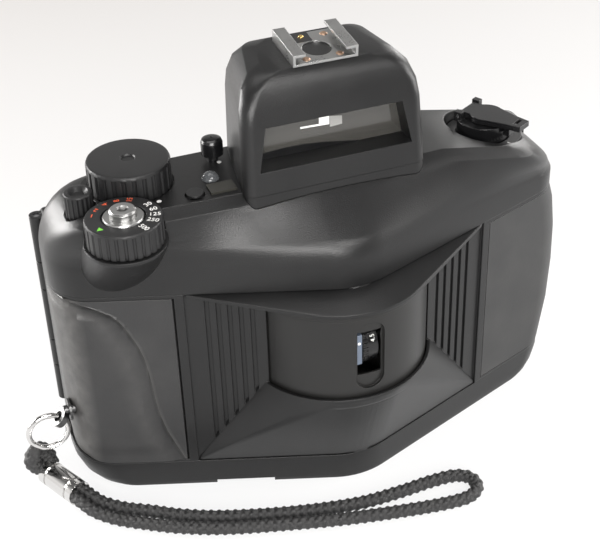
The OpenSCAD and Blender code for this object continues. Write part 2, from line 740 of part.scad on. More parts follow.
// Drum with its lens
slot_x = -0.6;
board_x = 5;
module slot_shape(w, h) {
    hull() {
        for (s = [-1, 1]) translate([0, 0, s * (h - w) / 2]) rotate([90, 0, 0])
            cylinder(r = w / 2, h = far, $fn = 32);
    }
}
module drum_slot() {
    translate([slot_x - slot_w / 2, -far, film_z - slot_h / 2]) cube([slot_w, far - 10, slot_h]);
    intersection() {
        translate([slot_x, 0, film_z - 0.6]) slot_shape(9.4, 25);
        difference() {
            post([0, 0], 0, far, drum_r + 5);
            post([0, 0], 0, far, drum_r - drum_wall * 0.55);
        }
    }
}
module lens_window() {
    for (s = [-1, 1])
        translate([0, 0, film_z + s * 6]) rotate([0, 90, 0]) cylinder(r = 7.5, h = far);
    translate([0, -7.5, film_z - 6]) cube([far, 15, 12]);
}
module lens_drum() {
    color("#3c3c3f")
        difference() {
            union() {
                difference() {
                    post([0, 0], drum_bottom_z, drum_top_z - drum_wall, drum_r);
                    post([0, 0], drum_bottom_z + drum_wall, drum_top_z, drum_r - drum_wall);
                    drum_slot();
                    lens_window();
                    translate([-far, -1, film_z - frame_h / 2 - 0.5]) cube([far, 2, frame_h + 1]);
                }
                intersection() {
                    post([0, 0], drum_bottom_z + drum_wall / 2, drum_top_z - drum_wall, drum_r - drum_wall / 2);
                    difference() {
                        translate([board_x, -far / 2, 0]) cube([2, far, far]);
                        for (z = [film_z, lens_z])
                            translate([0, 0, z]) rotate([0, 90, 0])
                                cylinder(r = barrel_r + pass_gap, h = far);
                        translate([0, -barrel_r - pass_gap, film_z])
                            cube([far, 2 * (barrel_r + pass_gap), shift_rise]);
                        translate([0, wheel_y, wheel_z]) rotate([0, 90, 0])
                            cylinder(r = 1.5 + run_fit, h = far);
                    }
                }
                post([0, 0], drum_gear_z - 1, drum_bottom_z + 0.5, axle_r);
            }
            post([0, 0], drum_gear_z - 2, drum_bottom_z - 8, 1);
        }
}
module drum_cap() {
    color("#343437") {
        post([0, 0], drum_top_z - drum_wall, drum_top_z, drum_r);
        post([0, 0], drum_top_z - 0.5, ceiling_z + 0.6, axle_r);
    }
}
module drum_gear() {
    color("#c9b27a")
        at([0, 0], drum_gear_z)
            difference() {
                rotate(motor_angle) gear(drum_teeth, drum_module, gear_t);
                translate([0, 0, -1]) cylinder(r = axle_r, h = gear_t + 2);
                for (k = [0:5])
                    rotate(60 * k) translate([drum_teeth * drum_module / 3.6, 0, -1])
                        cylinder(r = 3.4, h = gear_t + 2);
            }
}
wheel_x = slot_x + slot_w / 2 - 0.4 - wheel_w;
wheel_y = -(drum_r - drum_wall - 0.2 - wheel_r);
wheel_z = film_z - 0.2;
module aperture_wheel() {
    color("#161618")
        translate([wheel_x, wheel_y, wheel_z])
            rotate([0, 90, 0]) {
                difference() {
                    cylinder(r = wheel_r, h = wheel_w);
                    for (k = [0:31])
                        rotate(360 * k / 32) translate([wheel_r, 0, -1])
                            cylinder(r = 0.4, h = 2.6, $fn = 16);
                }
                cylinder(r = 1.5, h = board_x + 2 - wheel_x);
            }
}
slide_x = slot_x - slot_w / 2 + 0.3;
slide_w = wheel_x - slide_x - 0.3;
module shift_slider() {
    color("#3a4150") {
        translate([slide_x, -(drum_r - drum_wall - 0.7), lens_z - 8.6]) cube([slide_w, 2.6, 11]);
        difference() {
            translate([slide_x, -(drum_r - drum_wall - 3.2), lens_z - 8.6])
                cube([slide_w, drum_r - drum_wall - 3.2 + 9.5, 11]);
            translate([slide_x - 1, 0, lens_z]) rotate([0, 90, 0]) cylinder(r = barrel_r, h = slide_w + 2);
        }
    }
}
module lens_barrel() {
    color("#18181a")
        translate([-barrel_len / 2 + 4.5, 0, lens_z])
            rotate([0, 90, 0])
                difference() {
                    cylinder(r = barrel_r, h = barrel_len);
                    translate([0, 0, barrel_len - 5]) cylinder(r1 = 4.6, r2 = 6.8, h = 5 + skin);
                    translate([0, 0, -1]) cylinder(r = 4.6, h = barrel_len + 2);
                }
}
module lens_elements() {
    color("#6f86a8")
        translate([-barrel_len / 2 + 4.5, 0, lens_z])
            rotate([0, 90, 0])
                for (z = [2, barrel_len / 2, barrel_len - 7.6])
                    translate([0, 0, z])
                        rotate_extrude()
                            polygon(concat([[0, 0], [4.6, 0]],
                                [for (k = [0:8]) [4.6 * cos(k * 11.25), 1.4 + 1.2 * sin(k * 11.25)]]));
}

// Film transport
knob_z = deck_z - 0.4;
module wind_knob() {
    color("#1a1a1c")
        at(wind_pos, knob_z)
            difference() {
                fluted(knob_r, knob_h, knob_flutes, 0.5, 1);
                translate([0, 0, -1]) cylinder(r = shaft_r, h = knob_h - 1);
                translate([0, 0, knob_h - 0.5]) cylinder(r1 = 2, r2 = 2.6, h = 1);
            }
}
module wind_shaft() {
    color("#a9adb2")
        union() {
            post(wind_pos, room_high_z - 6, knob_z + knob_h - 2, shaft_r);
            at(wind_pos, wind_gear_z)
                rotate(mesh_angle) gear(wind_teeth, wind_module, gear_t);
        }
}
spool_low_z = room_low_z + 0.3;
spool_high_z = room_high_z - 0.4;
module take_up_spool() {
    color("#2b2b2e")
        difference() {
            union() {
                post(wind_pos, spool_low_z, spool_high_z, 5.4);
                post(wind_pos, spool_low_z, spool_low_z + 1.2, take_up_r - 1);
                post(wind_pos, spool_high_z - 1.2, spool_high_z, take_up_r - 1);
                post(wind_pos, floor_z + 1.3, spool_low_z + 1, shaft_r);
            }
            post(wind_pos, room_high_z - 6, spool_high_z + 1, shaft_r);
            at(wind_pos, film_z - 9) translate([-0.6, -9, 0]) cube([1.2, 18, 18]);
        }
}
module sprocket() {
    color("#c4c7ca")
        union() {
            post(sprocket_pos, floor_z + 1.3, wind_gear_z + gear_t, shaft_r - 1);
            post(sprocket_pos, room_low_z + 0.3, room_high_z - 0.4, sprocket_r - 2);
            for (z = [film_z - 17.4, film_z + 12])
                post(sprocket_pos, z, z + 5.4, sprocket_r - 0.6);
            for (z = [film_z - 14.1, film_z + 14.1], k = [0:7])
                at(sprocket_pos, z) rotate(45 * k + 20)
                    translate([sprocket_r - 1.2, 0, 0]) rotate([0, 90, 0])
                        cylinder(r1 = 0.95, r2 = 0.6, h = 1.6);
            at(sprocket_pos, wind_gear_z)
                rotate(mesh_angle + 180 + 180 / sprocket_teeth) gear(sprocket_teeth, wind_module, gear_t);
        }
}
module guide_roller() {
    color("#c4c7ca")
        union() {
            post(roller_pos, room_low_z + 0.3, room_high_z - 0.4, roller_r - 0.8);
            for (z = [film_z - 17.4, film_z + 12.6])
                post(roller_pos, z, z + 4.8, roller_r);
            post(roller_pos, floor_z + 1.3, ceiling_z - 1.3, 1.5);
        }
}

// Rewind crank
lever_angle = -60;
hub_low_z = recess_z + pass_gap;
hub_top_z = hub_low_z + hub_h;
lever_t = 1.8;
lever_pin_x = -6;
crank_pin_r = 0.5;
lever_low_z = hub_top_z + pass_gap;
lever_pin_z = lever_low_z + lever_t / 2;
module rewind_frame(z) { at(rewind_pos, z) rotate(lever_angle) children(); }
module rewind_collar() {
    color("#b8bcc0")
        difference() {
            post(rewind_pos, ceiling_z, ceiling_z + 1.6, 5.4);
            post(rewind_pos, ceiling_z - 1, ceiling_z + 3, shaft_r + run_fit);
        }
}
module rewind_shaft() {
    color("#a9adb2")
        difference() {
            post(rewind_pos, ceiling_z - rewind_lift, hub_low_z + 3, shaft_r);
            at(rewind_pos, ceiling_z - rewind_lift - 1) translate([-0.8, -9, 0]) cube([1.6, 18, 4.5]);
        }
}
module rewind_hub() {
    color("#161618")
        difference() {
            union() {
                post(rewind_pos, hub_low_z, hub_top_z, hub_r);
                rewind_frame(hub_top_z - 0.5)
                    for (s = [-1, 1])
                        translate([lever_pin_x - 1.3, s * 5.4 - 1, 0])
                            cube([2.6, 2, lever_t + pass_gap + 1]);
            }
            post(rewind_pos, hub_low_z - 1, hub_low_z + 3, shaft_r);
            rewind_frame(lever_pin_z)
                translate([lever_pin_x, -far / 2, 0]) rotate([-90, 0, 0])
                    cylinder(r = crank_pin_r, h = far);
        }
}
module lever_plan() {
    difference() {
        union() {
            translate([lever_pin_x + 0.3, -4]) square([12, 8]);
            translate([1, 0]) circle(5.6);
            polygon([[2, -5.4], [crank_reach - 5, -3.4], [crank_reach, -2.8],
                [crank_reach, 2.8], [crank_reach - 5, 3.4], [2, 5.4]]);
        }
        translate([crank_reach - 3.2, -1.8]) square([1.3, 3.6]);
        translate([lever_pin_x - 3, -9]) square([3.4, 18]);
    }
}
module crank_lever() {
    color("#121214")
        rewind_frame(0)
            difference() {
                union() {
                    translate([0, 0, lever_low_z]) linear_extrude(lever_t) lever_plan();
                    translate([lever_pin_x, -4, lever_pin_z]) rotate([-90, 0, 0])
                        cylinder(r = lever_t / 2, h = 8);
                    translate([hub_r + 0.6, -2.8, hub_top_z - 2.2])
                        cube([2.2, 5.6, lever_low_z - hub_top_z + 2.6]);
                }
                translate([lever_pin_x, -far / 2, lever_pin_z]) rotate([-90, 0, 0])
                    cylinder(r = crank_pin_r + run_fit, h = far);
            }
}
module crank_pin() {
    color("#b8bcc0")
        rewind_frame(lever_pin_z)
            translate([lever_pin_x, -6.3, 0]) rotate([-90, 0, 0]) cylinder(r = crank_pin_r, h = 12.6);
}
module film_speed_ring() {
    color("#1c1c1e")
        difference() {
            post(rewind_pos, recess_z + run_fit, recess_z + 1.4, recess_r - pass_gap);
            post(rewind_pos, recess_z - 1, recess_z + 3, hub_r + pass_gap);
        }
}

// Speed dial with the shutter release in its middle
collar_r = 5;
flange_r = 6.1;
flange_t = 0.6;
flange_low_z = dial_top_z - flange_t;
module speed_dial() {
    color("#1a1a1c")
        at(dial_pos, dial_low_z)
            difference() {
                fluted(dial_r, dial_h, dial_flutes, 0.4, 0.8);
                translate([0, 0, -1]) cylinder(r = collar_r + run_fit, h = dial_h + 2);
                translate([0, 0, dial_h - flange_t - pass_gap])
                    cylinder(r = flange_r + pass_gap, h = dial_h);
            }
}
module release_collar() {
    color("#c9ccd0")
        difference() {
            union() {
                post(dial_pos, dial_low_z - 5, dial_top_z, collar_r);
                at(dial_pos, flange_low_z) cylinder(r1 = flange_r, r2 = flange_r - 0.4, h = flange_t + 0.2);
            }
            post(dial_pos, dial_low_z - 6, dial_top_z + 1, button_r + run_fit);
        }
}
button_h = dial_h + 3 + button_travel + 0.9;
module release_button() {
    color("#d4d6d9")
        at(dial_pos, dial_low_z - 3)
            difference() {
                rotate_extrude()
                    polygon([[0, 0], [button_r, 0], [button_r, button_h - 0.5],
                        [button_r - 0.5, button_h], [0, button_h]]);
                translate([0, 0, button_h - 2.6]) cylinder(r1 = 1, r2 = 1.7, h = 2.6 + skin);
            }
}
module lock_knob() {
    color("#1a1a1c")
        at(lock_pos, deck_z - 3 + pass_gap)
            difference() {
                union() {
                    fluted(lock_r, lock_h, 18, 0.4, 0.5);
                    translate([0, 0, -4]) cylinder(r = 1.5, h = 5);
                }
                translate([0, 0, lock_h - 1.2]) cylinder(r1 = 1.8, r2 = lock_r - 1, h = 1.4);
            }
}
module mode_button() {
    color("#101012")
        at(mode_pos, 0)
            difference() {
                union() {
                    translate([0, 0, deck_z + 2.2])
                        rotate_extrude() polygon([[0, 0], [3.4, 0], [3.4, 4], [3, 5], [2.2, 5.4], [0, 5.6]]);
                    translate([0, 0, cavity_z - 1]) cylinder(r = 1.6, h = deck_z - cavity_z + 4);
                }
                translate([0, 0, deck_z + 7]) cylinder(r = 0.4, h = 2);
            }
}
test_r = 2.6;
module test_button() {
    color("#18181a")
        at(test_pos, 0) {
            translate([0, 0, deck_z + 0.2]) cylinder(r = test_r, h = 0.7);
            translate([0, 0, cavity_z - 0.5]) cylinder(r = 1.3, h = deck_z + 0.4 - cavity_z + 0.5);
        }
}
module indicator_lens() {
    color("#9aa39a")
        at(lamp_pos, 0) {
            intersection() {
                translate([0, 0, deck_z - 0.6]) sphere(2.8);
                translate([-9, -9, deck_z]) cube(18);
            }
            translate([0, 0, cavity_z]) cylinder(r = 1.8, h = deck_z - cavity_z + 0.2);
        }
}
module counter_window() {
    color("#4a4a3c")
        at(counter_pos, 0) {
            translate([-4, -2.7, deck_z]) cube([8, 5.4, 0.7]);
            translate([-3.2, -2, cavity_z]) cube([6.4, 4, deck_z - cavity_z + 0.2]);
        }
}
module frame_counter() {
    color("#d8d8d0")
        at(counter_axis, 0) {
            translate([0, 0, cavity_z - 1.9]) cylinder(r = 6.2, h = 0.9);
            translate([0, 0, cavity_z - 1.4]) cylinder(r = 1.2 - run_fit, h = 2);
        }
}

// Viewfinder housing
hump_top_z = deck_z + hump_h;
window_low_z = deck_z + 6.4;
// Housing levels: drop under the top, inset of the sides, the front and the rear, corner rounding
crown = [[13.5, 0.6, 2.4, 0, 3.4], [8.5, 1.1, 3.4, 0.5, 3.8], [4, 2.7, 5.2, 1.6, 4.4],
    [1.2, 5.6, 7.4, 3.2, 5], [0, 9.6, 9.2, 5.4, 5]];
function roofed(pts, z) =
    [for (p = pts) [p[0], p[1], z + tan(roof_tilt) * (p[1] - shoe_y) * max(0, z - deck_z) / hump_h]];
module hump_form(i, low) {
    front = hump_w / 2 + hump_taper / 2 - i;
    back = hump_w / 2 - hump_taper - i;
    loft([for (c = concat([[deck_z + hump_h - low, 0, 0, 0, 3.4]], crown))
        let (z = hump_top_z - c[0] - (c[0] > hump_h - 1 ? 0 : i * (1 - c[0] / 20)))
        [z, roofed(box_outline(front - c[1], back - c[1],
            c[2] + i - hump_front, hump_rear - c[3] - i, c[4]), z)]]);
}
module window_shape(grow, h) {
    rotate([90, 0, 0])
        linear_extrude(h, center = true)
            polygon([[-window_low_w / 2 - grow, -grow], [window_low_w / 2 + grow, -grow],
                [window_high_w / 2 + grow, window_h + grow], [-window_high_w / 2 - grow, window_h + grow]]);
}
glass_y = 5.2;
glass_t = 1.6;
lens_t = 5.8;
eye_z = deck_z + 16;
// The front of the housing reaches down past the deck onto the slope
module hump_skirt() {
    difference() {
        intersection() {
            hump_form(0, deck_z - 4);
            translate([-far / 2, -far, 0]) cube(far);
        }
        translate([0, 0, 0.03]) top_form(0, seam_z);
    }
}
module viewfinder_housing() {
    color("#2a2a2d")
        difference() {
            union() {
                difference() {
                    hump_form(0, deck_z);
                    hump_form(shell_wall, deck_z - 1);
                }
                intersection() {
                    hump_form(0.6, deck_z - 1);
                    difference() {
                        translate([0, glass_y - 4, window_low_z]) window_shape(1.6, 8);
                        translate([0, glass_y + 0.6, window_low_z]) window_shape(fit / 2, 3);
                    }
                }
                hump_skirt();
            }
            translate([0, -20, window_low_z]) window_shape(-0.8, 60);
            translate([0, hump_rear, eye_z]) rotate([90, 0, 0]) cylinder(r = 7, h = 12, center = true);
        }
}
module viewfinder_window() {
    color("#6d6f6b", 0.6)
        translate([0, glass_y, window_low_z]) window_shape(0, glass_t);
}
module finder_objective() {
    color("#7f8a90", 0.6)
        difference() {
            translate([0, glass_y + (glass_t + lens_t) / 2, window_low_z]) window_shape(-2, lens_t);
            translate([0, glass_y - 27, window_low_z + window_h / 2]) sphere(32);
        }
}
module eyepiece_frame() {
    color("#161618")
        difference() {
            union() {
                translate([0, hump_rear + 3, eye_z]) rotate([90, 0, 0]) cylinder(r = 9, h = 3);
                translate([0, hump_rear + 3, eye_z]) rotate([90, 0, 0]) cylinder(r = 7, h = 6);
            }
            translate([0, hump_rear + 9, eye_z]) rotate([90, 0, 0]) cylinder(r = 5.4, h = 20);
        }
}
module eyepiece_lens() {
    color("#7f8a90", 0.6)
        translate([0, hump_rear + 0.5, eye_z]) rotate([90, 0, 0]) cylinder(r = 5.4, h = 2.4);
}

// Accessory shoe
shoe_y = 4.8;
shoe_z = hump_top_z;
hole_y = shoe_y + shoe_len * 0.42;
module on_roof() {
    translate([0, shoe_y, shoe_z]) rotate([roof_tilt, 0, 0]) translate([0, -shoe_y, -shoe_z]) children();
}
module hot_shoe() {
    color("#c9ccce")
        difference() {
            union() {
                translate([-shoe_w / 2, shoe_y, shoe_z]) cube([shoe_w, shoe_len, shoe_t]);
                mirrored_pair() {
                    translate([shoe_w / 2 - shoe_t, shoe_y, shoe_z])
                        cube([shoe_t, shoe_len, shoe_room + 2 * shoe_t]);
                    translate([shoe_gap / 2, shoe_y, shoe_z + shoe_t + shoe_room])
                        cube([shoe_w / 2 - shoe_gap / 2, shoe_len, shoe_t]);
                }
            }
            translate([0, hole_y, shoe_z - 1]) cylinder(r = 4.4, h = 3);
            translate([-7.6, shoe_y + shoe_len - 5.4, shoe_z - 1]) cube([8.4, 9, shoe_t + 1]);
            for (p = rivet_places) translate([p[0], p[1], shoe_z - 1]) cylinder(r = 0.95, h = 3);
        }
}
rivet_places = [[-5.2, shoe_y + 2.2], [5.2, shoe_y + 2.2], [5.2, shoe_y + shoe_len - 2.4]];
module shoe_insulator() {
    color("#0e0e10") {
        translate([0, hole_y, shoe_z]) cylinder(r = 4.3, h = shoe_t * 0.4);
        difference() {
            translate([-7.5, shoe_y + shoe_len - 5.3, shoe_z]) cube([8.2, 5.2, shoe_t]);
            translate([0, hole_y, shoe_z - 1]) cylinder(r = 4.3, h = 3);
            for (p = contact_places) translate([p[0], p[1], shoe_z - 1]) cylinder(r = 0.8, h = 3);
        }
    }
}
contact_places = [[-5.6, shoe_y + shoe_len - 2.2], [-2, shoe_y + shoe_len - 2.2]];
module shoe_contacts() {
    color("#d8a94a")
        for (p = contact_places)
            translate([p[0], p[1], shoe_z])
                rotate_extrude() polygon([[0, 0], [0.8, 0], [0.8, 1], [0.5, 1.3], [0, 1.3]]);
}
module shoe_rivets() {
    color("#b58a6a")
        for (p = rivet_places)
            translate([p[0], p[1], shoe_z])
                rotate_extrude() polygon([[0, 0], [0.95, 0], [0.95, 0.8], [1.2, 0.8], [0.8, 1.1], [0, 1.1]]);
}

// Rear door
door_gap = 0.3;
door_y = rear_y + door_gap;
plate_angle = 48;
plate_r = gate_r + 0.5;
module door_knuckle(z) {
    post([hinge_x, hinge_y], z[0], z[1], knuckle_r);
    translate([hinge_x, door_y, z[0]]) cube([5, 4.4, z[1] - z[0]]);
}
latch_pos = [body_w / 2 - 12, film_z];
module rear_door() {
    color("#29292c")
        difference() {
            union() {
                translate([0, door_y + door_t, 0])
                    rotate([90, 0, 0])
                        linear_extrude(door_t)
                            polygon(round_corners([[-body_w / 2 + 3, door_low_z], [body_w / 2 - 1, door_low_z],
                                [body_w / 2 - 1, door_high_z], [-body_w / 2 + 3, door_high_z]], [2, 6, 6, 2]));
                for (z = door_knuckles) door_knuckle(z);
                for (z = [film_z - 10, film_z + 6])
                    translate([-9, plate_r + 1.2, z]) cube([18, door_y - plate_r, 4]);
            }
            for (z = door_knuckles)
                post([hinge_x, hinge_y], z[0] - 1, z[1] + 1, pin_r + run_fit);
            for (z = body_knuckles)
                translate([hinge_x - 4, door_y - 4, z[0] - pass_gap])
                    cube([8.2, 12, z[1] - z[0] + 2 * pass_gap]);
            translate([latch_pos[0] - 5, door_y + door_t - 1.4, latch_pos[1] - 12]) cube([10, 9, 24]);
        }
}
module pressure_plate() {
    color("#1d1d20")
        translate([0, 0, film_z - 16])
            linear_extrude(32)
                difference() {
                    pie(plate_angle, plate_r + 1.2);
                    circle(plate_r, $fn = 96);
                }
}
module door_latch() {
    color("#141416")
        translate([latch_pos[0] - 4.6, door_y + door_t - 1.4 + run_fit, latch_pos[1] - 4]) {
            cube([9.2, 1.2, 15.4]);
            for (k = [0:4]) translate([1, 1.1, 2 + 2.6 * k]) cube([7.2, 1.1, 1.2]);
        }
}
module hinge_pin() {
    color("#b8bcc0")
        post([hinge_x, hinge_y], door_low_z + 1, door_high_z - 1, pin_r);
}

// Wrist cord: lug, ring, knot, ferrule and the loop of cord on the table
lug_y = 15;
lug_z = 27.4;
lug_x = -(body_w / 2 + 3.6);
lean = 45;
lug_rise = 2.4;
lug_post_r = 1.5;
module lug_post(r, from) {
    translate([lug_x + from, lug_y, lug_z + lug_rise]) rotate([0, 90, 0]) cylinder(r = r, h = 8 - from);
}
module lug_hole() { lug_post(lug_post_r + fit / 4, 0); }
module strap_lug() {
    color("#c4c7ca")
        difference() {
            union() {
                lug_post(lug_post_r, 1.4);
                translate([-body_w / 2 - 0.8, lug_y, lug_z + lug_rise]) rotate([0, 90, 0])
                    cylinder(r = 3.6, h = 0.8);
                translate([lug_x, lug_y, lug_z]) rotate([0, 90 + lean, 0]) translate([0, 0, -1])
                    cylinder(r = 3.3, h = 2);
            }
            translate([lug_x, lug_y, lug_z]) rotate([0, 90 + lean, 0]) translate([0, 0, -4])
                cylinder(r = 1.8, h = 8);
        }
}
ring_pos = [lug_x - ring_r * sin(lean), lug_y, lug_z - ring_r * cos(lean)];
module strap_ring() {
    color("#d2d4d6")
        translate(ring_pos)
            rotate([90, 0, 0])
                rotate_extrude() translate([ring_r, 0]) circle(ring_wire, $fn = 24);
}
cord_r = cord_d / 2;
ferrule_from = [-96, 17.6, 4.3];
ferrule_to = ferrule_from + ferrule_len * unit([6.4, -13.4, 0]);
ferrule_dir = unit(ferrule_to - ferrule_from);
ferrule_side = [-ferrule_dir[1], ferrule_dir[0], 0];
module along(a, b) {
    d = b - a;
    translate(a) rotate([0, acos(d[2] / norm(d)), atan2(d[1], d[0])]) children();
}
module strap_ferrule() {
    color("#d2d4d6")
        along(ferrule_from, ferrule_to)
            difference() {
                cylinder(r = cord_d + 0.4, h = ferrule_len);
                for (z = [3, ferrule_len - 3])
                    translate([0, 0, z - 0.4])
                        difference() {
                            cylinder(r = cord_d + 2, h = 0.8);
                            translate([0, 0, -1]) cylinder(r = cord_d, h = 3);
                        }
            }
}
knot_path = [ferrule_from, ferrule_from + [-1.2, 2, 5], ring_pos + [-4.6, 0.6, -6]];
module strap_knot() {
    color("#141414")
        difference() {
            union() {
                hull() {
                    translate(knot_path[1]) sphere(cord_d + 0.2, $fn = 24);
                    translate(knot_path[2]) sphere(cord_d, $fn = 24);
                }
                hull() {
                    translate(knot_path[1]) sphere(cord_d - 0.2, $fn = 24);
                    along(ferrule_from, ferrule_to) cylinder(r = cord_d - 0.2, h = skin, $fn = 24);
                }
            }
            translate(ring_pos)
                rotate([90, 0, 0])
                    rotate_extrude() translate([ring_r, 0]) circle(ring_wire + 0.1, $fn = 24);
            along(ferrule_from, ferrule_to) cylinder(r = cord_d + 1, h = 9);
        }
}
// The cord's route on the table, out from the ferrule, round the loop and back
cord_start = ferrule_to + ferrule_side * (cord_r + 0.05);
cord_end = ferrule_to - ferrule_side * (cord_r + 0.05);
cord_way = concat([cord_end, cord_end + ferrule_dir * 4],
    [[-86.2, -5.6, 3.1], [-80.4, -10.6, 2.1], [-72, -16.4, 2], [-62, -22.5, 2], [-48.5, -28.6, 2],
     [-28.5, -35, 2], [-13, -39.4, 2], [3, -43, 2], [18, -45.6, 2], [27, -45.8, 2], [31.4, -42.6, 2], [31, -38, 2],
     [26.6, -35.2, 2], [18, -34.6, 2], [7, -35, 2], [-8, -34.4, 2], [-28, -30, 2], [-48, -23.4, 2], [-60.6, -17.4, 2],
     [-69.4, -11.6, 2], [-77.2, -6.8, 2.1], [-82.8, -2.8, 3.1]],
    [cord_start + ferrule_dir * 4, cord_start]);
cord_sides = 8;
cord_fill = 2;
function blend(a, b, c, d, t) =
    0.5 * (2 * b + (c - a) * t + (2 * a - 5 * b + 4 * c - d) * t * t + (3 * b - a - 3 * c + d) * t * t * t);
function way(k) = cord_way[max(0, min(len(cord_way) - 1, k))];
cord_points = [for (k = [0:len(cord_way) - 2], j = [0:cord_fill - 1])
        blend(way(k - 1), way(k), way(k + 1), way(k + 2), j / cord_fill), cord_start];
function heading(k) = let (n = len(cord_points) - 1)
    k == 0 ? ferrule_dir : k == n ? -ferrule_dir : unit(cord_points[k + 1] - cord_points[k - 1]);
function ring_point(k, j) = let (t = heading(k), side = unit(cross([0, 0, 1], t)), up = cross(t, side))
    cord_points[k] + cord_r * (cos(360 * j / cord_sides) * side + sin(360 * j / cord_sides) * up);
module strap_cord() {
    n = len(cord_points);
    color("#141414")
        polyhedron(
            points = [for (k = [0:n - 1], j = [0:cord_sides - 1]) ring_point(k, j)],
            faces = concat(
                [[for (j = [cord_sides - 1:-1:0]) j]],
                [[for (j = [0:cord_sides - 1]) (n - 1) * cord_sides + j]],
                [for (k = [0:n - 2], j = [0:cord_sides - 1])
                    let (a = k * cord_sides + j, b = k * cord_sides + (j + 1) % cord_sides)
                    each [[a, b, b + cord_sides], [a, b + cord_sides, a + cord_sides]]]));
}

front_shell();
top_cover();
base_plate();
chassis();
left_grip();
right_grip();
viewfinder_housing();
viewfinder_window();
finder_objective();
eyepiece_frame();
eyepiece_lens();
on_roof() hot_shoe();
on_roof() shoe_insulator();
on_roof() shoe_contacts();
on_roof() shoe_rivets();
upper_bearing();
lower_bearing();
drive_motor();
motor_pinion();
battery_cells();
battery_door();
circuit_board();
tripod_bush();
hinge_pin();
release_collar();
indicator_lens();
counter_window();
lens_drum();
drum_cap();
drum_gear();
shift_slider();
lens_barrel();
lens_elements();
aperture_wheel();
wind_knob();
wind_shaft();
take_up_spool();
sprocket();
guide_roller();
rewind_collar();
rewind_shaft();
rewind_hub();
crank_lever();
crank_pin();
film_speed_ring();
speed_dial();
release_button();
lock_knob();
mode_button();
test_button();
frame_counter();
rear_door();
pressure_plate();
door_latch();
strap_lug();
strap_ring();
strap_knot();
strap_ferrule();
strap_cord();
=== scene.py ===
from math import cos, floor, pi, radians, sin, sqrt

import bpy
from mathutils import Matrix, Vector


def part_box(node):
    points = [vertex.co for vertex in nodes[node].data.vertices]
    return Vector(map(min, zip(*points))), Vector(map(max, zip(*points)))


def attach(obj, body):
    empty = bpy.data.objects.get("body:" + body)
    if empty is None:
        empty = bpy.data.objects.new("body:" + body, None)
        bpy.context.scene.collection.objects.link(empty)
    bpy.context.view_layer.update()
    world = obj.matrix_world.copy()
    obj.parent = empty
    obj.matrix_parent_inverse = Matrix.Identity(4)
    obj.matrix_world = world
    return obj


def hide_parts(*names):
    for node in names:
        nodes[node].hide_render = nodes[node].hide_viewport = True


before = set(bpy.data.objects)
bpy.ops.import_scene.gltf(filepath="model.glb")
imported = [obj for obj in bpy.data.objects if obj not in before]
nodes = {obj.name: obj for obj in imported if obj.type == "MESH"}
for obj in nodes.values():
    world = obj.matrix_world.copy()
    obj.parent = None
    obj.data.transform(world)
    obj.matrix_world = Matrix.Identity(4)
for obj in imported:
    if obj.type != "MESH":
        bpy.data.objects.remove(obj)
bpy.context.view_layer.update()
mm = 0.001
print("frame loaded:", len(nodes), "nodes")


# camera, fitted to the photograph

cameraView = {
    "place": (-128.3, -316.6, 299.5),
    "back": (-0.3161, -0.7654, 0.5606),
    "roll": -0.68,
    "lens": 78.51,
    "sensor": 36,
    "shift": (-0.0713, -0.0117),
    "clip": (0.01, 20),
}

def setCamera(view):
    back = Vector(view["back"]).normalized()
    right = Vector((0, 0, 1)).cross(back).normalized()
    up = back.cross(right)
    turn = radians(view["roll"])
    side = right * cos(turn) + up * sin(turn)
    top = back.cross(side)
    data = bpy.data.cameras.new("photoCamera")
    data.lens = view["lens"]
    data.sensor_width = view["sensor"]
    data.shift_x, data.shift_y = view["shift"]
    data.clip_start, data.clip_end = view["clip"]
    camera = bpy.data.objects.new("photoCamera", data)
    bpy.context.scene.collection.objects.link(camera)
    pose = Matrix((side, top, back)).transposed().to_4x4()
    pose.translation = Vector(view["place"]) * mm
    camera.matrix_world = pose
    bpy.context.scene.camera = camera

setCamera(cameraView)
print("camera ready")


# node wires: maths on sockets, and one method for any other node

class Wire:
    def __init__(self, tree, socket=None):
        self.tree, self.socket = tree, socket

    def node(self, kind, settings=None, sockets=None, out=0):
        made = self.tree.nodes.new(kind)
        for key, value in (settings or {}).items():
            setattr(made, key, value)
        for key, value in (sockets or {}).items():
            if isinstance(value, Wire):
                self.tree.links.new(value.socket, made.inputs[key])
            else:
                made.inputs[key].default_value = value
        return Wire(self.tree, made.outputs[out])

    def maths(self, operation, first, second):
        return self.node("ShaderNodeMath", {"operation": operation}, {0: first, 1: second})

    def __add__(self, other): return self.maths("ADD", self, other)
    def __radd__(self, other): return self.maths("ADD", other, self)
    def __sub__(self, other): return self.maths("SUBTRACT", self, other)
    def __rsub__(self, other): return self.maths("SUBTRACT", other, self)
    def __mul__(self, other): return self.maths("MULTIPLY", self, other)
    def __truediv__(self, other): return self.maths("DIVIDE", self, other)
    def __abs__(self): return self.maths("ABSOLUTE", self, 0)

    def limit(self, low=0.0, high=1.0):
        return self.node("ShaderNodeClamp", None, {"Value": self, "Min": low, "Max": high})

    def ramp(self, start, slope):
        return ((self - start) * slope).limit()

    def blend(self, first, second):
        colours = {0: self, 6: first, 7: second}
        return self.node("ShaderNodeMix", {"data_type": "RGBA"}, colours, 2)

    def noise(self, place, scale, detail, rough=0.5):
        sockets = {"Vector": place, "Scale": scale, "Detail": detail, "Roughness": rough}
        return self.node("ShaderNodeTexNoise", None, sockets)

    def axis(self, place, number):
        return self.node("ShaderNodeSeparateXYZ", None, {0: place}, number)


# studio: a pale floor, soft panels, and a world that is bright at the sides and dim above and in front

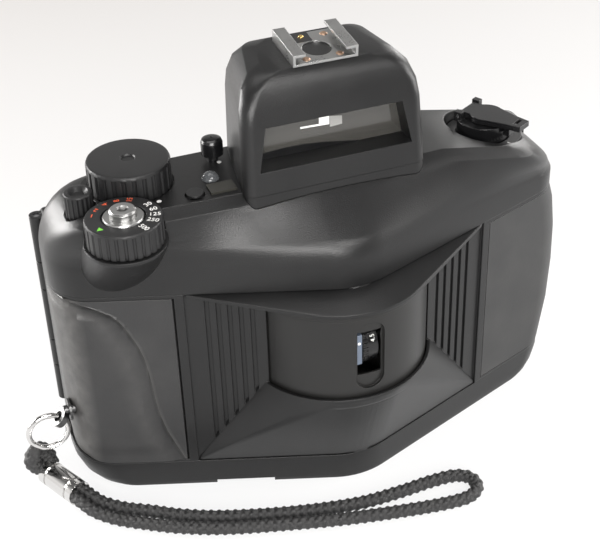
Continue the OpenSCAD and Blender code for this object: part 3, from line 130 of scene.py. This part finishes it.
studio = {
    "tint": (1, 0.985, 0.97),
    "world": {"base": 0.13, "sides": 0.72, "back": 0.6,
        "sideRamp": (0.3, 1.7), "backRamp": (0.1, 1.4), "topRamp": (0.35, 2.5)},
    # the far floor colours are darker than the near ones: painted shade for the light falling off towards
    # the back
    "floor": {"near": (0.86, 0.855, 0.85, 1), "far": (0.66, 0.645, 0.63, 1),
        "glowNear": (1, 1, 1, 1), "glowFar": (0.79, 0.765, 0.745, 1),
        "fade": (0.02, 2.4), "glowShare": 0.8, "reach": 3},
    "panels": {
        "frontPanel": {"place": (60, -490, 600), "aim": (0, 0, 80), "size": (300, 120), "power": 2.4},
        "lowPanel": {"place": (-230, -700, 370), "aim": (-10, 0, 80), "size": (460, 260), "power": 6.0},
        "overPanel": {"place": (0, 160, 900), "aim": (0, 0, 60), "size": (700, 420), "power": 2.6},
        "backPanel": {"place": (560, 420, 330), "aim": (20, 0, 110), "size": (260, 260), "power": 1.6},
        "leftPanel": {"place": (-540, 440, 190), "aim": (-20, 0, 60), "size": (400, 300), "power": 7.2},
        "rightPanel": {"place": (640, -100, 260), "aim": (30, 0, 60), "size": (320, 460), "power": 3.6},
    },
}

def setWorld(look, tint):
    world = bpy.data.worlds.new("studioWorld")
    world.use_nodes = True
    tree = world.node_tree
    tree.nodes.clear()
    wire = Wire(tree)
    aim = wire.node("ShaderNodeTexCoord", out="Generated")
    x, y, z = (wire.axis(aim, number) for number in range(3))
    sides = abs(x).ramp(*look["sideRamp"])
    behind = y.ramp(*look["backRamp"])
    low = 1 - z.ramp(*look["topRamp"])
    strength = look["base"] + (sides * look["sides"] + behind * look["back"]) * low
    glow = wire.node("ShaderNodeBackground", None, {"Color": (*tint, 1), "Strength": strength})
    out = tree.nodes.new("ShaderNodeOutputWorld")
    tree.links.new(glow.socket, out.inputs["Surface"])
    bpy.context.scene.world = world

def setPanels(panels, tint):
    for name, panel in panels.items():
        data = bpy.data.lights.new(name, "AREA")
        data.shape = "RECTANGLE"
        data.size, data.size_y = (value * mm for value in panel["size"])
        data.energy = panel["power"]
        data.color = tint
        lamp = bpy.data.objects.new(name, data)
        lamp.location = Vector(panel["place"]) * mm
        toward = Vector(panel["aim"]) * mm - lamp.location
        lamp.rotation_mode = "QUATERNION"
        lamp.rotation_quaternion = toward.to_track_quat("-Z", "Y")
        bpy.context.scene.collection.objects.link(lamp)

def setFloor(look):
    material = bpy.data.materials.new("paleFloor")
    material.use_nodes = True
    tree = material.node_tree
    tree.nodes.clear()
    wire = Wire(tree)
    place = wire.node("ShaderNodeTexCoord", out="Object")
    # darker towards the back: painted shade
    fade = wire.axis(place, 1).ramp(*look["fade"])
    tone = fade.blend(look["near"], look["far"])
    glow = fade.blend(look["glowNear"], look["glowFar"])
    matte = wire.node("ShaderNodeBsdfDiffuse", None, {"Color": tone})
    lit = wire.node("ShaderNodeEmission", None, {"Color": glow, "Strength": 1.0})
    rays = ("Is Camera Ray", "Is Glossy Ray", "Is Transmission Ray")
    camera, glossy, through = (wire.node("ShaderNodeLightPath", out=ray) for ray in rays)
    seen = (camera + glossy + through).limit() * look["glowShare"]
    mixed = wire.node("ShaderNodeMixShader", None, {0: seen, 1: matte, 2: lit})
    out = tree.nodes.new("ShaderNodeOutputMaterial")
    tree.links.new(mixed.socket, out.inputs["Surface"])
    mesh = bpy.data.meshes.new("paleFloor")
    far = look["reach"]
    corners = [(-far, -far, 0), (far, -far, 0), (far, far, 0), (-far, far, 0)]
    mesh.from_pydata(corners, [], [(0, 1, 2, 3)])
    mesh.materials.append(material)
    ground = bpy.data.objects.new("paleFloor", mesh)
    bpy.context.scene.collection.objects.link(ground)

bpy.context.scene.view_settings.view_transform = "Standard"
setWorld(studio["world"], studio["tint"])
setPanels(studio["panels"], studio["tint"])
setFloor(studio["floor"])
print("studio ready")


# finishes

finishes = {
    "shellPlastic": {"tone": (0.008, 0.008, 0.0083), "light": (0.026, 0.026, 0.026),
        "rough": 0.35, "spread": 0.1, "cloud": 38, "grain": 2600, "depth": 0.16,
        "edge": 0.5, "wear": 0.5, "dustAndSheen": 0.25, "shine": 0.4},
    "gripRubber": {"tone": (0.02, 0.02, 0.0205), "light": (0.065, 0.064, 0.062),
        "rough": 0.46, "spread": 0.2, "cloud": 55, "grain": 1900, "depth": 0.1,
        "edge": 0.5, "wear": 0.3, "dustAndSheen": 0.45},
    "chassisBlack": {"tone": (0.02, 0.02, 0.021), "light": (0.05, 0.05, 0.05),
        "rough": 0.6, "spread": 0.15, "cloud": 50, "grain": 2200, "depth": 0.2,
        "edge": 0.25, "wear": 0.5, "dustAndSheen": 0.2},
    "drumSatin": {"tone": (0.011, 0.0108, 0.0105), "light": (0.028, 0.027, 0.026),
        "rough": 0.36, "spread": 0.1, "cloud": 45, "grain": 3200, "depth": 0.08,
        "edge": 0.25, "wear": 0.5, "dustAndSheen": 0.15, "shine": 0.4},
    "glossBlack": {"tone": (0.006, 0.006, 0.0065), "light": (0.03, 0.03, 0.03),
        "rough": 0.22, "spread": 0.12, "cloud": 90, "grain": 2600, "depth": 0.02,
        "edge": 0.35, "wear": 0.35, "dustAndSheen": 0.2},
    "knobBlack": {"tone": (0.009, 0.009, 0.0095), "light": (0.03, 0.03, 0.03),
        "rough": 0.4, "spread": 0.16, "cloud": 80, "grain": 2800, "depth": 0.08,
        "edge": 0.3, "wear": 0.6, "dustAndSheen": 0.25},
    "sliderBlue": {"tone": (0.1, 0.125, 0.17), "light": (0.25, 0.28, 0.33),
        "rough": 0.35, "spread": 0.1, "cloud": 150, "grain": 3000, "depth": 0.05,
        "edge": 0.2, "wear": 0.5, "dustAndSheen": 0.1},
    "boardGreen": {"tone": (0.02, 0.09, 0.035), "light": (0.05, 0.17, 0.07),
        "rough": 0.4, "spread": 0.1, "cloud": 300, "grain": 2000, "depth": 0.05,
        "edge": 0.1, "wear": 0.2, "dustAndSheen": 0.2},
    "cellJacket": {"tone": (0.3, 0.28, 0.22), "light": (0.5, 0.47, 0.4),
        "rough": 0.35, "spread": 0.1, "cloud": 100, "grain": 1500, "depth": 0.03,
        "edge": 0.3, "wear": 0.3, "dustAndSheen": 0.2},
    "counterWhite": {"tone": (0.72, 0.72, 0.68), "light": (0.8, 0.8, 0.76),
        "rough": 0.5, "spread": 0.1, "cloud": 200, "grain": 2000, "depth": 0.03,
        "edge": 0.1, "wear": 0.1, "dustAndSheen": 0.2},
    "brightNickel": {"tone": (0.42, 0.42, 0.415), "light": (0.6, 0.6, 0.59),
        "rough": 0.3, "spread": 0.16, "cloud": 140, "grain": 2400, "depth": 0.05,
        "edge": 0.25, "wear": 0.6, "dustAndSheen": 0.4, "metal": 1},
    "mirrorChrome": {"tone": (0.72, 0.71, 0.7), "light": (0.85, 0.85, 0.85),
        "rough": 0.07, "spread": 0.06, "cloud": 120, "grain": 1500, "depth": 0.01,
        "edge": 0.2, "wear": 0.3, "dustAndSheen": 0.3, "metal": 1},
    "gunMetal": {"tone": (0.1, 0.1, 0.1), "light": (0.22, 0.22, 0.22),
        "rough": 0.32, "spread": 0.15, "cloud": 200, "grain": 2600, "depth": 0.05,
        "edge": 0.2, "wear": 0.6, "dustAndSheen": 0.3, "metal": 1},
    "turnedSteel": {"tone": (0.5, 0.5, 0.51), "light": (0.66, 0.66, 0.67),
        "rough": 0.3, "spread": 0.15, "cloud": 200, "grain": 3000, "depth": 0.06,
        "edge": 0.2, "wear": 0.5, "dustAndSheen": 0.3, "metal": 1},
    "cutBrass": {"tone": (0.62, 0.47, 0.22), "light": (0.8, 0.66, 0.36),
        "rough": 0.3, "spread": 0.15, "cloud": 200, "grain": 3000, "depth": 0.05,
        "edge": 0.15, "wear": 0.5, "dustAndSheen": 0.4, "metal": 1},
    "copperRivet": {"tone": (0.55, 0.36, 0.25), "light": (0.75, 0.55, 0.42),
        "rough": 0.32, "spread": 0.15, "cloud": 400, "grain": 3000, "depth": 0.05,
        "edge": 0.15, "wear": 0.5, "dustAndSheen": 0.4, "metal": 1},
    "goldContact": {"tone": (0.8, 0.56, 0.2), "light": (0.9, 0.7, 0.35),
        "rough": 0.22, "spread": 0.1, "cloud": 400, "grain": 3000, "depth": 0.03,
        "edge": 0.15, "wear": 0.5, "dustAndSheen": 0.3, "metal": 1},
    # the cord's dust is raised, so its random pale patches are partly dust and partly painted sheen on the
    # yarn
    "cordYarn": {"tone": (0.014, 0.014, 0.0145), "light": (0.05, 0.049, 0.048),
        "rough": 0.5, "spread": 0.2, "cloud": 700, "grain": 5200, "depth": 0.6,
        "edge": 0.05, "wear": 0.2, "dustAndSheen": 0.5, "shine": 0.7},
}

# left grip: the ridge down its front as (height, across) in mm, bump shading for the hollow left of it, a
# painted highlight along the crest, a painted highlight streak in the hollow, and painted light on the left
# end, broken into streaks
gripMould = {
    "ridge": [(12, -54.6), (18.7, -57.2), (26, -59.6), (34.4, -61.2), (44.4, -62.2),
        (54.4, -63.8), (62.2, -66.7), (68, -70.1), (71.7, -75.5), (74.1, -81.9)],
    "heights": (10, 80),
    "widths": (-90, -50),
    "hollow": 18,
    "deep": 1.9,
    "crest": 0.9,
    "crestRise": 0.25,
    # painted highlight along the crest
    "crestHighlight": 0.25,
    "streak": {"scale": 260.0, "detail": 5.0},
    # painted light: the left end is painted paler where the left lamp falls, broken into streaks
    "wornAndLit": {"from": -79, "fade": 4, "pale": 0.9},
    # painted highlight: a paler streak in the hollow left of the ridge
    "hollowGleam": {"at": 0.3, "fall": 4, "pale": 0.25},
}
# the left rubber's pale colour is raised so its painted light and painted highlights show
finishes["leftRubber"] = {**finishes["gripRubber"], "light": (0.11, 0.107, 0.103), "dustAndSheen": 0.14,
    "mould": gripMould}

paintLook = {"rough": 0.5, "spread": 0.1, "cloud": 900, "grain": 3000, "depth": 0.03,
    "edge": 0.05, "wear": 0.2, "dustAndSheen": 0.5}
paints = {
    # white paint for the printed marks, and for the painted highlight in the finder glass
    "markAndGlintWhite": (0.85, 0.85, 0.83),
    "markRed": (0.72, 0.1, 0.035),
    "markGreen": (0.16, 0.6, 0.05),
    # grey paint, used for the painted reflection in the finder glass
    "reflectionGrey": (0.3, 0.3, 0.29),
}
paintFade = 0.86
for name, tone in paints.items():
    finishes[name] = {**paintLook, "tone": tone, "light": tuple(value * paintFade for value in tone)}

surface = {
    "cloudDetail": 6.0, "cloudRough": 0.62, "grainDetail": 2.0, "edgeSamples": 4, "edgeGain": 5,
    "hazeAndSheen": (0.42, 2.4), "grainRough": 0.12, "grainHeight": 0.4, "smoothest": 0.03, "shine": 0.5,
}
materials = {}

def traceCurve(wire, value, points):
    made = wire.tree.nodes.new("ShaderNodeFloatCurve")
    line = made.mapping.curves[0].points
    for k, (along, across) in enumerate(points):
        if k < 2:
            line[k].location = (along, across)
        else:
            line.new(along, across)
    made.mapping.update()
    wire.tree.links.new(value.socket, made.inputs["Value"])
    return Wire(wire.tree, made.outputs[0])

def mouldGrip(wire, place, mould):
    x, z = wire.axis(place, 0) / mm, wire.axis(place, 2) / mm
    (low, high), (left, right) = mould["heights"], mould["widths"]
    points = [((a - low) / (high - low), (b - left) / (right - left)) for a, b in mould["ridge"]]
    ridge = traceCurve(wire, (z - low) / (high - low), points) * (right - left) + left
    away = ridge - x
    share = (away / mould["hollow"]).limit()
    # deepest a third of the way across, where the product alone is 4/27
    hollow = share * (1 - share) * (1 - share) * (27 / 4 * mould["deep"])
    crest = (1 - abs(away) / mould["crest"]).limit()
    streak = wire.noise(place, **mould["streak"])
    wornAndLit, hollowGleam = mould["wornAndLit"], mould["hollowGleam"]
    # painted light on the left end, broken into streaks
    litEndPart = ((wornAndLit["from"] - x) / wornAndLit["fade"]).limit() * streak
    # painted highlight: a paler streak in the hollow
    hollowGleamPart = (1 - abs(share - hollowGleam["at"]) * hollowGleam["fall"]).limit() * streak
    height = crest * mould["crestRise"] - hollow
    # painted highlight along the crest, added to the painted light and the painted streak
    pale = crest * mould["crestHighlight"] + litEndPart * wornAndLit["pale"] + hollowGleamPart * hollowGleam["pale"]
    return height, pale

def newMaterial(name):
    material = bpy.data.materials.new(name)
    material.use_nodes = True
    materials[name] = material
    tree = material.node_tree
    return tree, tree.nodes["Principled BSDF"], Wire(tree)

def makeFinish(name, look):
    tree, shader, wire = newMaterial(name)
    place = wire.node("ShaderNodeTexCoord", out="Object")
    cloud = wire.noise(place, look["cloud"], surface["cloudDetail"], surface["cloudRough"])
    grain = wire.noise(place, look["grain"], surface["grainDetail"])
    samples = {"samples": surface["edgeSamples"]}
    rounded = wire.node("ShaderNodeBevel", samples, {"Radius": look["edge"] * mm})
    facing = wire.node("ShaderNodeNewGeometry", out="Normal")
    product = {"operation": "DOT_PRODUCT"}
    flat = wire.node("ShaderNodeVectorMath", product, {0: rounded, 1: facing}, "Value")
    wornAndLit = ((1 - flat) * surface["edgeGain"]).limit() * cloud * look["wear"]
    # random pale patches: dust, and on the cord partly painted sheen
    hazeAndSheen = cloud.ramp(*surface["hazeAndSheen"]) * look["dustAndSheen"]
    if "mould" in look:
        height, pale = mouldGrip(wire, place, look["mould"])
        swell = {"Strength": 1.0, "Distance": mm, "Height": height, "Normal": rounded}
        rounded = wire.node("ShaderNodeBump", None, swell)
        # on the left grip the haze also carries the painted highlights and painted light
        hazeAndSheen = hazeAndSheen + pale
    tone = (wornAndLit + hazeAndSheen).limit().blend((*look["tone"], 1), (*look["light"], 1))
    uneven = (cloud - 0.5) * look["spread"] + (grain - 0.5) * surface["grainRough"]
    rough = (look["rough"] + uneven).limit(surface["smoothest"], 1)
    pitted = {"Strength": look["depth"], "Distance": surface["grainHeight"] * mm,
        "Height": grain, "Normal": rounded}
    bump = wire.node("ShaderNodeBump", None, pitted)
    tree.links.new(tone.socket, shader.inputs["Base Color"])
    tree.links.new(rough.socket, shader.inputs["Roughness"])
    tree.links.new(bump.socket, shader.inputs["Normal"])
    shader.inputs["Metallic"].default_value = look.get("metal", 0)
    shader.inputs["Specular IOR Level"].default_value = look.get("shine", surface["shine"])

glasses = {
    "finderGlass": {"tone": (0.06, 0.058, 0.053), "rough": 0.1, "alpha": 0.84, "coat": 0.6},
    "lensGlass": {"tone": (0.05, 0.07, 0.1), "rough": 0.03, "alpha": 0.5, "coat": 0.6},
    "domeClear": {"tone": (0.09, 0.095, 0.1), "rough": 0.2, "alpha": 0.8, "coat": 0.1},
    "smokyWindow": {"tone": (0.03, 0.029, 0.024), "rough": 0.3, "alpha": 0.96, "coat": 0.05},
}
smearLook = {
    "scale": 90.0, "detail": 5.0, "film": (0.45, 2), "lift": (1.3, 0.02),
    "tone": 0.12, "rough": 0.03, "alpha": 0.02, "ior": 1.5, "coatRough": 0.03,
}

def makeGlass(name, look):
    tree, shader, wire = newMaterial(name)
    place = wire.node("ShaderNodeTexCoord", out="Object")
    film = wire.noise(place, smearLook["scale"], smearLook["detail"]).ramp(*smearLook["film"])
    gain, lift = smearLook["lift"]
    smeared = [min(1, value * gain + lift) for value in look["tone"]]
    shade = (film * smearLook["tone"]).blend((*look["tone"], 1), (*smeared, 1))
    rough = look["rough"] + film * smearLook["rough"]
    alpha = (look["alpha"] + film * smearLook["alpha"]).limit()
    tree.links.new(shade.socket, shader.inputs["Base Color"])
    tree.links.new(rough.socket, shader.inputs["Roughness"])
    tree.links.new(alpha.socket, shader.inputs["Alpha"])
    shader.inputs["IOR"].default_value = smearLook["ior"]
    shader.inputs["Coat Weight"].default_value = look["coat"]
    shader.inputs["Coat Roughness"].default_value = smearLook["coatRough"]

for name, look in finishes.items():
    makeFinish(name, look)
for name, look in glasses.items():
    makeGlass(name, look)
print("finishes ready:", len(materials))


# CAD nodes: smooth shading by angle and a finish each

softening = {"joinWithin": 2e-6, "sharpFrom": 26}

def softenGroup(look):
    tree = bpy.data.node_groups.new("softenShell", "GeometryNodeTree")
    for way in ("INPUT", "OUTPUT"):
        tree.interface.new_socket("Geometry", in_out=way, socket_type="NodeSocketGeometry")
    wire = Wire(tree)
    start = wire.node("NodeGroupInput")
    unset = {"Geometry": start, "Name": "custom_normal"}
    bare = wire.node("GeometryNodeRemoveAttribute", None, unset)
    merge = {"Geometry": bare, "Distance": look["joinWithin"]}
    joined = wire.node("GeometryNodeMergeByDistance", None, merge)
    allFaces = {"Geometry": joined, "Shade Smooth": True}
    smooth = wire.node("GeometryNodeSetShadeSmooth", {"domain": "FACE"}, allFaces)
    bend = wire.node("GeometryNodeInputMeshEdgeAngle")
    compare = {"data_type": "FLOAT", "operation": "LESS_THAN"}
    gentle = wire.node("FunctionNodeCompare", compare, {0: bend, 1: radians(look["sharpFrom"])})
    gentleEdges = {"Geometry": smooth, "Shade Smooth": gentle}
    edges = wire.node("GeometryNodeSetShadeSmooth", {"domain": "EDGE"}, gentleEdges)
    end = tree.nodes.new("NodeGroupOutput")
    tree.links.new(edges.socket, end.inputs[0])
    return tree

softenShell = softenGroup(softening)

dressing = {
    "shellPlastic": "front_shell top_cover base_plate viewfinder_housing rear_door battery_door",
    "leftRubber": "left_grip",
    "gripRubber": "right_grip",
    "chassisBlack": "chassis pressure_plate",
    "drumSatin": "lens_drum drum_cap",
    "glossBlack": "crank_lever rewind_hub mode_button aperture_wheel eyepiece_frame",
    "knobBlack": "wind_knob speed_dial lock_knob test_button film_speed_ring take_up_spool "
        "lens_barrel door_latch shoe_insulator",
    "brightNickel": "hot_shoe release_collar release_button",
    "gunMetal": "strap_lug",
    "mirrorChrome": "strap_ring strap_ferrule",
    "turnedSteel": "upper_bearing lower_bearing drive_motor hinge_pin crank_pin rewind_collar "
        "rewind_shaft wind_shaft sprocket guide_roller",
    "cutBrass": "motor_pinion drum_gear tripod_bush",
    "copperRivet": "shoe_rivets",
    "goldContact": "shoe_contacts",
    "finderGlass": "viewfinder_window finder_objective eyepiece_lens",
    "lensGlass": "lens_elements",
    "domeClear": "indicator_lens",
    "smokyWindow": "counter_window",
    "sliderBlue": "shift_slider",
    "boardGreen": "circuit_board",
    "cellJacket": "battery_cells",
    "counterWhite": "frame_counter",
}

def dressNodes(table):
    for finish, names in table.items():
        for name in names.split():
            node = nodes[name]
            node.data.materials.clear()
            node.data.materials.append(materials[finish])
            soften = node.modifiers.new("soften", "NODES")
            soften.node_group = softenShell
            even = node.modifiers.new("even", "WEIGHTED_NORMAL")
            even.keep_sharp = True

dressNodes(dressing)
print("nodes dressed")


# new pieces: each gets a finish and rides on a body

def addPiece(name, mesh, finish, body):
    mesh.materials.clear()
    mesh.materials.append(materials[finish])
    piece = bpy.data.objects.new(name, mesh)
    bpy.context.scene.collection.objects.link(piece)
    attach(piece, body)
    return piece


# wrist cord and its knot: braided tubes laid along their routes

cordLook = {
    "diameter": 3.8,
    "swell": 0.8,
    "step": 0.36,
    "sides": 40,
    "strands": 4,
    "pitch": 2.6,
    "relief": 0.9,
    "dip": 0.35,
    "rest": 0.06,
    "route": [(-90.86, 2.323, 4.3), (-89.136, -1.286, 4.2), (-86.2, -5.6, 3.1), (-80.4, -10.6, 2.1),
        (-72, -16.4, 2), (-62, -22.5, 2), (-48.5, -28.6, 2), (-28.5, -35, 2), (-13, -39.4, 2),
        (3, -43, 2), (18, -45.6, 2), (27, -45.8, 2), (31.4, -42.6, 2), (31, -38, 2),
        (26.6, -35.2, 2), (18, -34.6, 2), (7, -35, 2), (-8, -34.4, 2), (-28, -30, 2),
        (-48, -23.4, 2), (-60.6, -17.4, 2), (-69.4, -11.6, 2), (-77.2, -6.8, 2.1),
        (-82.8, -2.8, 3.1), (-85.621, 0.395, 4.2), (-87.345, 4.004, 4.3)],
}
knotLook = {**cordLook, "diameter": 4.9, "relief": 0.85, "pitch": 2.8,
    "route": [(-94.6, 18.4, 5.2), (-94.9, 19.6, 8), (-95.8, 19, 11.6), (-97.4, 17.2, 14.6),
        (-99.3, 15.6, 15.6), (-100.6, 15.4, 13.2), (-100.2, 16.6, 9.8), (-98.8, 18.2, 7),
        (-97.2, 18.4, 5.2)]}

def curvePoint(a, b, c, d, t):
    square, cube = 2 * a - 5 * b + 4 * c - d, 3 * b - a - 3 * c + d
    return 0.5 * (2 * b + (c - a) * t + square * t * t + cube * t ** 3)

def smoothRoute(points, step):
    points = [Vector(p) for p in points]
    last = len(points) - 1
    fine = []
    for k in range(last):
        a, b, c, d = (points[max(0, min(last, k + j))] for j in (-1, 0, 1, 2))
        count = max(2, round((c - b).length / step))
        fine += [curvePoint(a, b, c, d, j / count) for j in range(count)]
    return fine + [points[-1]]

def braidHeight(u, v, look):
    first, second = look["strands"] * u + v, look["strands"] * u - v
    a, b = first - floor(first), second - floor(second)
    over = (floor(first) + floor(second)) % 2 == 0
    across, along = (a, b) if over else (b, a)
    crown = look["dip"] + (1 - look["dip"]) * sin(pi * along)
    return sqrt(max(0, 1 - (2 * across - 1) ** 2)) * crown

def braidTube(name, look):
    path = smoothRoute(look["route"], look["step"])
    count, sides = len(path), look["sides"]
    core = (look["diameter"] + look["swell"]) / 2 - look["relief"]
    verts, faces, run = [], [], 0
    side = None
    for k, centre in enumerate(path):
        ahead = (path[min(k + 1, count - 1)] - path[max(k - 1, 0)]).normalized()
        if side is None:
            side = ahead.cross(Vector((0, 0, 1))).normalized()
        side = (side - ahead * side.dot(ahead)).normalized()
        up = side.cross(ahead)
        if k:
            run += (centre - path[k - 1]).length
        for j in range(sides):
            turn = 2 * pi * j / sides
            rise = core + look["relief"] * braidHeight(j / sides, run / look["pitch"], look)
            place = centre + (side * cos(turn) + up * sin(turn)) * rise
            verts.append(Vector((place.x, place.y, max(place.z, look["rest"]))) * mm)
    for k in range(count - 1):
        for j in range(sides):
            a, b = k * sides + j, k * sides + (j + 1) % sides
            faces.append((a, b, b + sides, a + sides))
    faces.append(tuple(reversed(range(sides))))
    faces.append(tuple((count - 1) * sides + j for j in range(sides)))
    mesh = bpy.data.meshes.new(name)
    mesh.from_pydata(verts, [], faces)
    mesh.validate()
    for face in mesh.polygons:
        face.use_smooth = True
    return addPiece(name, mesh, "cordYarn", "camera_body"), path, run

cord, cordPath, cordRun = braidTube("wristCord", cordLook)
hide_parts("strap_cord")
knot = braidTube("cordKnot", knotLook)[0]
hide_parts("strap_knot")
cordRun * mm
[p * mm for p in cordPath]
print("cord laid:", round(cordRun), "mm")


# marks: plain numbers, dots and plates, a hair proud of what carries them

markLook = {"lift": 0.02, "thick": 0.06, "letterThick": 0.02, "dotSides": 28, "dotTaper": 0.96}
markLift = markLook["lift"]

def letterMesh(text, size):
    data = bpy.data.curves.new("lettering", "FONT")
    data.body, data.size = text, size * mm
    data.align_x, data.align_y = "CENTER", "CENTER"
    data.extrude = markLook["letterThick"] * mm
    data.resolution_u = 4
    holder = bpy.data.objects.new("lettering", data)
    bpy.context.scene.collection.objects.link(holder)
    drawn = holder.evaluated_get(bpy.context.evaluated_depsgraph_get())
    mesh = bpy.data.meshes.new_from_object(drawn)
    bpy.data.objects.remove(holder)
    return mesh

def dotMesh(radius, sides=markLook["dotSides"]):
    mesh = bpy.data.meshes.new("dot")
    turns = [2 * pi * k / sides for k in range(sides)]
    ring = [(radius * mm * cos(turn), radius * mm * sin(turn)) for turn in turns]
    half, taper = markLook["thick"] / 2 * mm, markLook["dotTaper"]
    verts = [(x, y, -half) for x, y in ring] + [(x * taper, y * taper, half) for x, y in ring]
    faces = [tuple(range(sides, 2 * sides))]
    faces += [(k, (k + 1) % sides, sides + (k + 1) % sides, sides + k) for k in range(sides)]
    mesh.from_pydata(verts, [], faces)
    return mesh

def plateMesh(outline):
    mesh = bpy.data.meshes.new("plate")
    count, half = len(outline), markLook["thick"] / 2 * mm
    verts = [(x * mm, y * mm, side * half) for side in (-1, 1) for x, y in outline]
    faces = [tuple(reversed(range(count))), tuple(range(count, 2 * count))]
    faces += [(k, (k + 1) % count, count + (k + 1) % count, count + k) for k in range(count)]
    mesh.from_pydata(verts, [], faces)
    return mesh

def spot(x, y, z, turn=0):
    return Matrix.Translation(Vector((x, y, z)) * mm) @ Matrix.Rotation(radians(turn), 4, "Z")

def onRing(look, turn, z):
    x = look["centre"][0] + look["reach"] * cos(radians(turn))
    y = look["centre"][1] + look["reach"] * sin(radians(turn))
    return spot(x, y, z, turn)

def addMark(name, mesh, finish, pose, body):
    mesh.transform(pose)
    return addPiece(name, mesh, finish, body)

faceFront = Matrix.Rotation(radians(90), 4, "X")

# speed dial: its numbers, a plain triangle, and the dots on the deck beside it
dialMarks = {
    "centre": (-65.5, -3.6),
    "reach": 8.9,
    "size": 2.4,
    "white": {"500": -65, "250": -36, "125": -16, "60": 3, "30": 23},
    "red": {"15": 63, "8": 87, "4": 110, "2": 135, "1": 155},
    "autoTurn": 209,
    "autoRadius": 1.1,
}
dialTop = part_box("speed_dial")[1].z / mm
for finish, numbers in (("markAndGlintWhite", dialMarks["white"]), ("markRed", dialMarks["red"])):
    for number, turn in numbers.items():
        mesh = letterMesh(number, dialMarks["size"])
        pose = onRing(dialMarks, turn, dialTop + markLift)
        addMark(f"dialNumber{number}", mesh, finish, pose, "dial")
autoPose = onRing(dialMarks, dialMarks["autoTurn"], dialTop + markLift)
autoMesh = dotMesh(dialMarks["autoRadius"], 3)
addMark("dialAutoMark", autoMesh, "markGreen", autoPose, "dial")

deckDots = {"top": 104, "radius": 0.75,
    "places": {"dialIndexDot": (-52.7, 5.7), "buttonIndexDot": (-29.3, 20.9)}}
for name, (x, y) in deckDots["places"].items():
    pose = spot(x, y, deckDots["top"] + markLift)
    addMark(name, dotMesh(deckDots["radius"]), "markAndGlintWhite", pose, "camera_body")

# film speed ring: short ticks that face the front
ringMarks = {
    "centre": (59.3, 16.5),
    "reach": 10.9,
    "turns": (-112, -103, -94, -85, -76, -67),
    "size": (1.3, 0.4),
}
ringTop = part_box("film_speed_ring")[1].z / mm
long, wide = (value / 2 for value in ringMarks["size"])
for turn in ringMarks["turns"]:
    tick = plateMesh([(-long, -wide), (long, -wide), (long, wide), (-long, wide)])
    pose = onRing(ringMarks, turn, ringTop + markLift)
    addMark(f"ringTick{-turn}", tick, "markAndGlintWhite", pose, "speed_ring")

# drum window: the stop number on the wheel and a pale dot on the slider
wheelMarks = {"number": "4.5", "size": 2.1, "x": 1.3, "turn": 30}
wheelLow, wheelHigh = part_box("aperture_wheel")
wheelRadius = (wheelHigh.z - wheelLow.z) / 2 / mm
wheelY, wheelZ = wheelLow.y / mm + wheelRadius, (wheelLow.z + wheelHigh.z) / 2 / mm
tilt = radians(wheelMarks["turn"])
outward, upward = Vector((0, -cos(tilt), sin(tilt))), Vector((0, sin(tilt), cos(tilt)))
numberPose = Matrix((upward, Vector((-1, 0, 0)), outward)).transposed().to_4x4()
hub = Vector((wheelMarks["x"], wheelY, wheelZ))
numberPose.translation = (hub + outward * (wheelRadius + markLift)) * mm
numberMesh = letterMesh(wheelMarks["number"], wheelMarks["size"])
addMark("wheelNumber", numberMesh, "markAndGlintWhite", numberPose, "aperture")

sliderMark = {"x": -3.3, "z": 59.4, "radius": 0.5}
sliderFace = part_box("shift_slider")[0].y / mm
sliderPose = spot(sliderMark["x"], sliderFace - markLift, sliderMark["z"]) @ faceFront
sliderMesh = dotMesh(sliderMark["radius"])
addMark("sliderDot", sliderMesh, "markAndGlintWhite", sliderPose, "lens_shift")

# finder glass: plates a hair in front of it for what shows in it: a white painted highlight where a bright
# glint shows, a grey painted reflection beside it, and a black plate of painted shade under the arch
finderMarks = {
    # painted shade: a black plate under the arch
    "finderPaintedShade": ("glossBlack", [(-24.6, 110.6), (13.7, 110.6), (5.6, 111.9), (-1.1, 113),
        (-7.6, 113.7), (-14.2, 113.8), (-24.4, 113.2)]),
    # painted highlight: a white plate where a bright glint shows
    "finderPaintedGlint": ("markAndGlintWhite", [(-8.7, 118.9), (0.5, 118.6), (0.5, 121.4), (-2.8, 121.4),
        (-2.8, 119.3), (-8.7, 119.5)]),
    # painted reflection: a grey plate beside the glint
    "finderPaintedReflection": ("reflectionGrey", [(0.7, 117.6), (4.6, 117.9), (4.6, 120.6), (0.7, 121.2)]),
}
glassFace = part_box("viewfinder_window")[0].y / mm
glassPose = spot(0, glassFace - markLook["thick"] / 2, 0) @ faceFront
for name, (finish, outline) in finderMarks.items():
    addMark(name, plateMesh(outline), finish, glassPose, "camera_body")
print("marks placed")
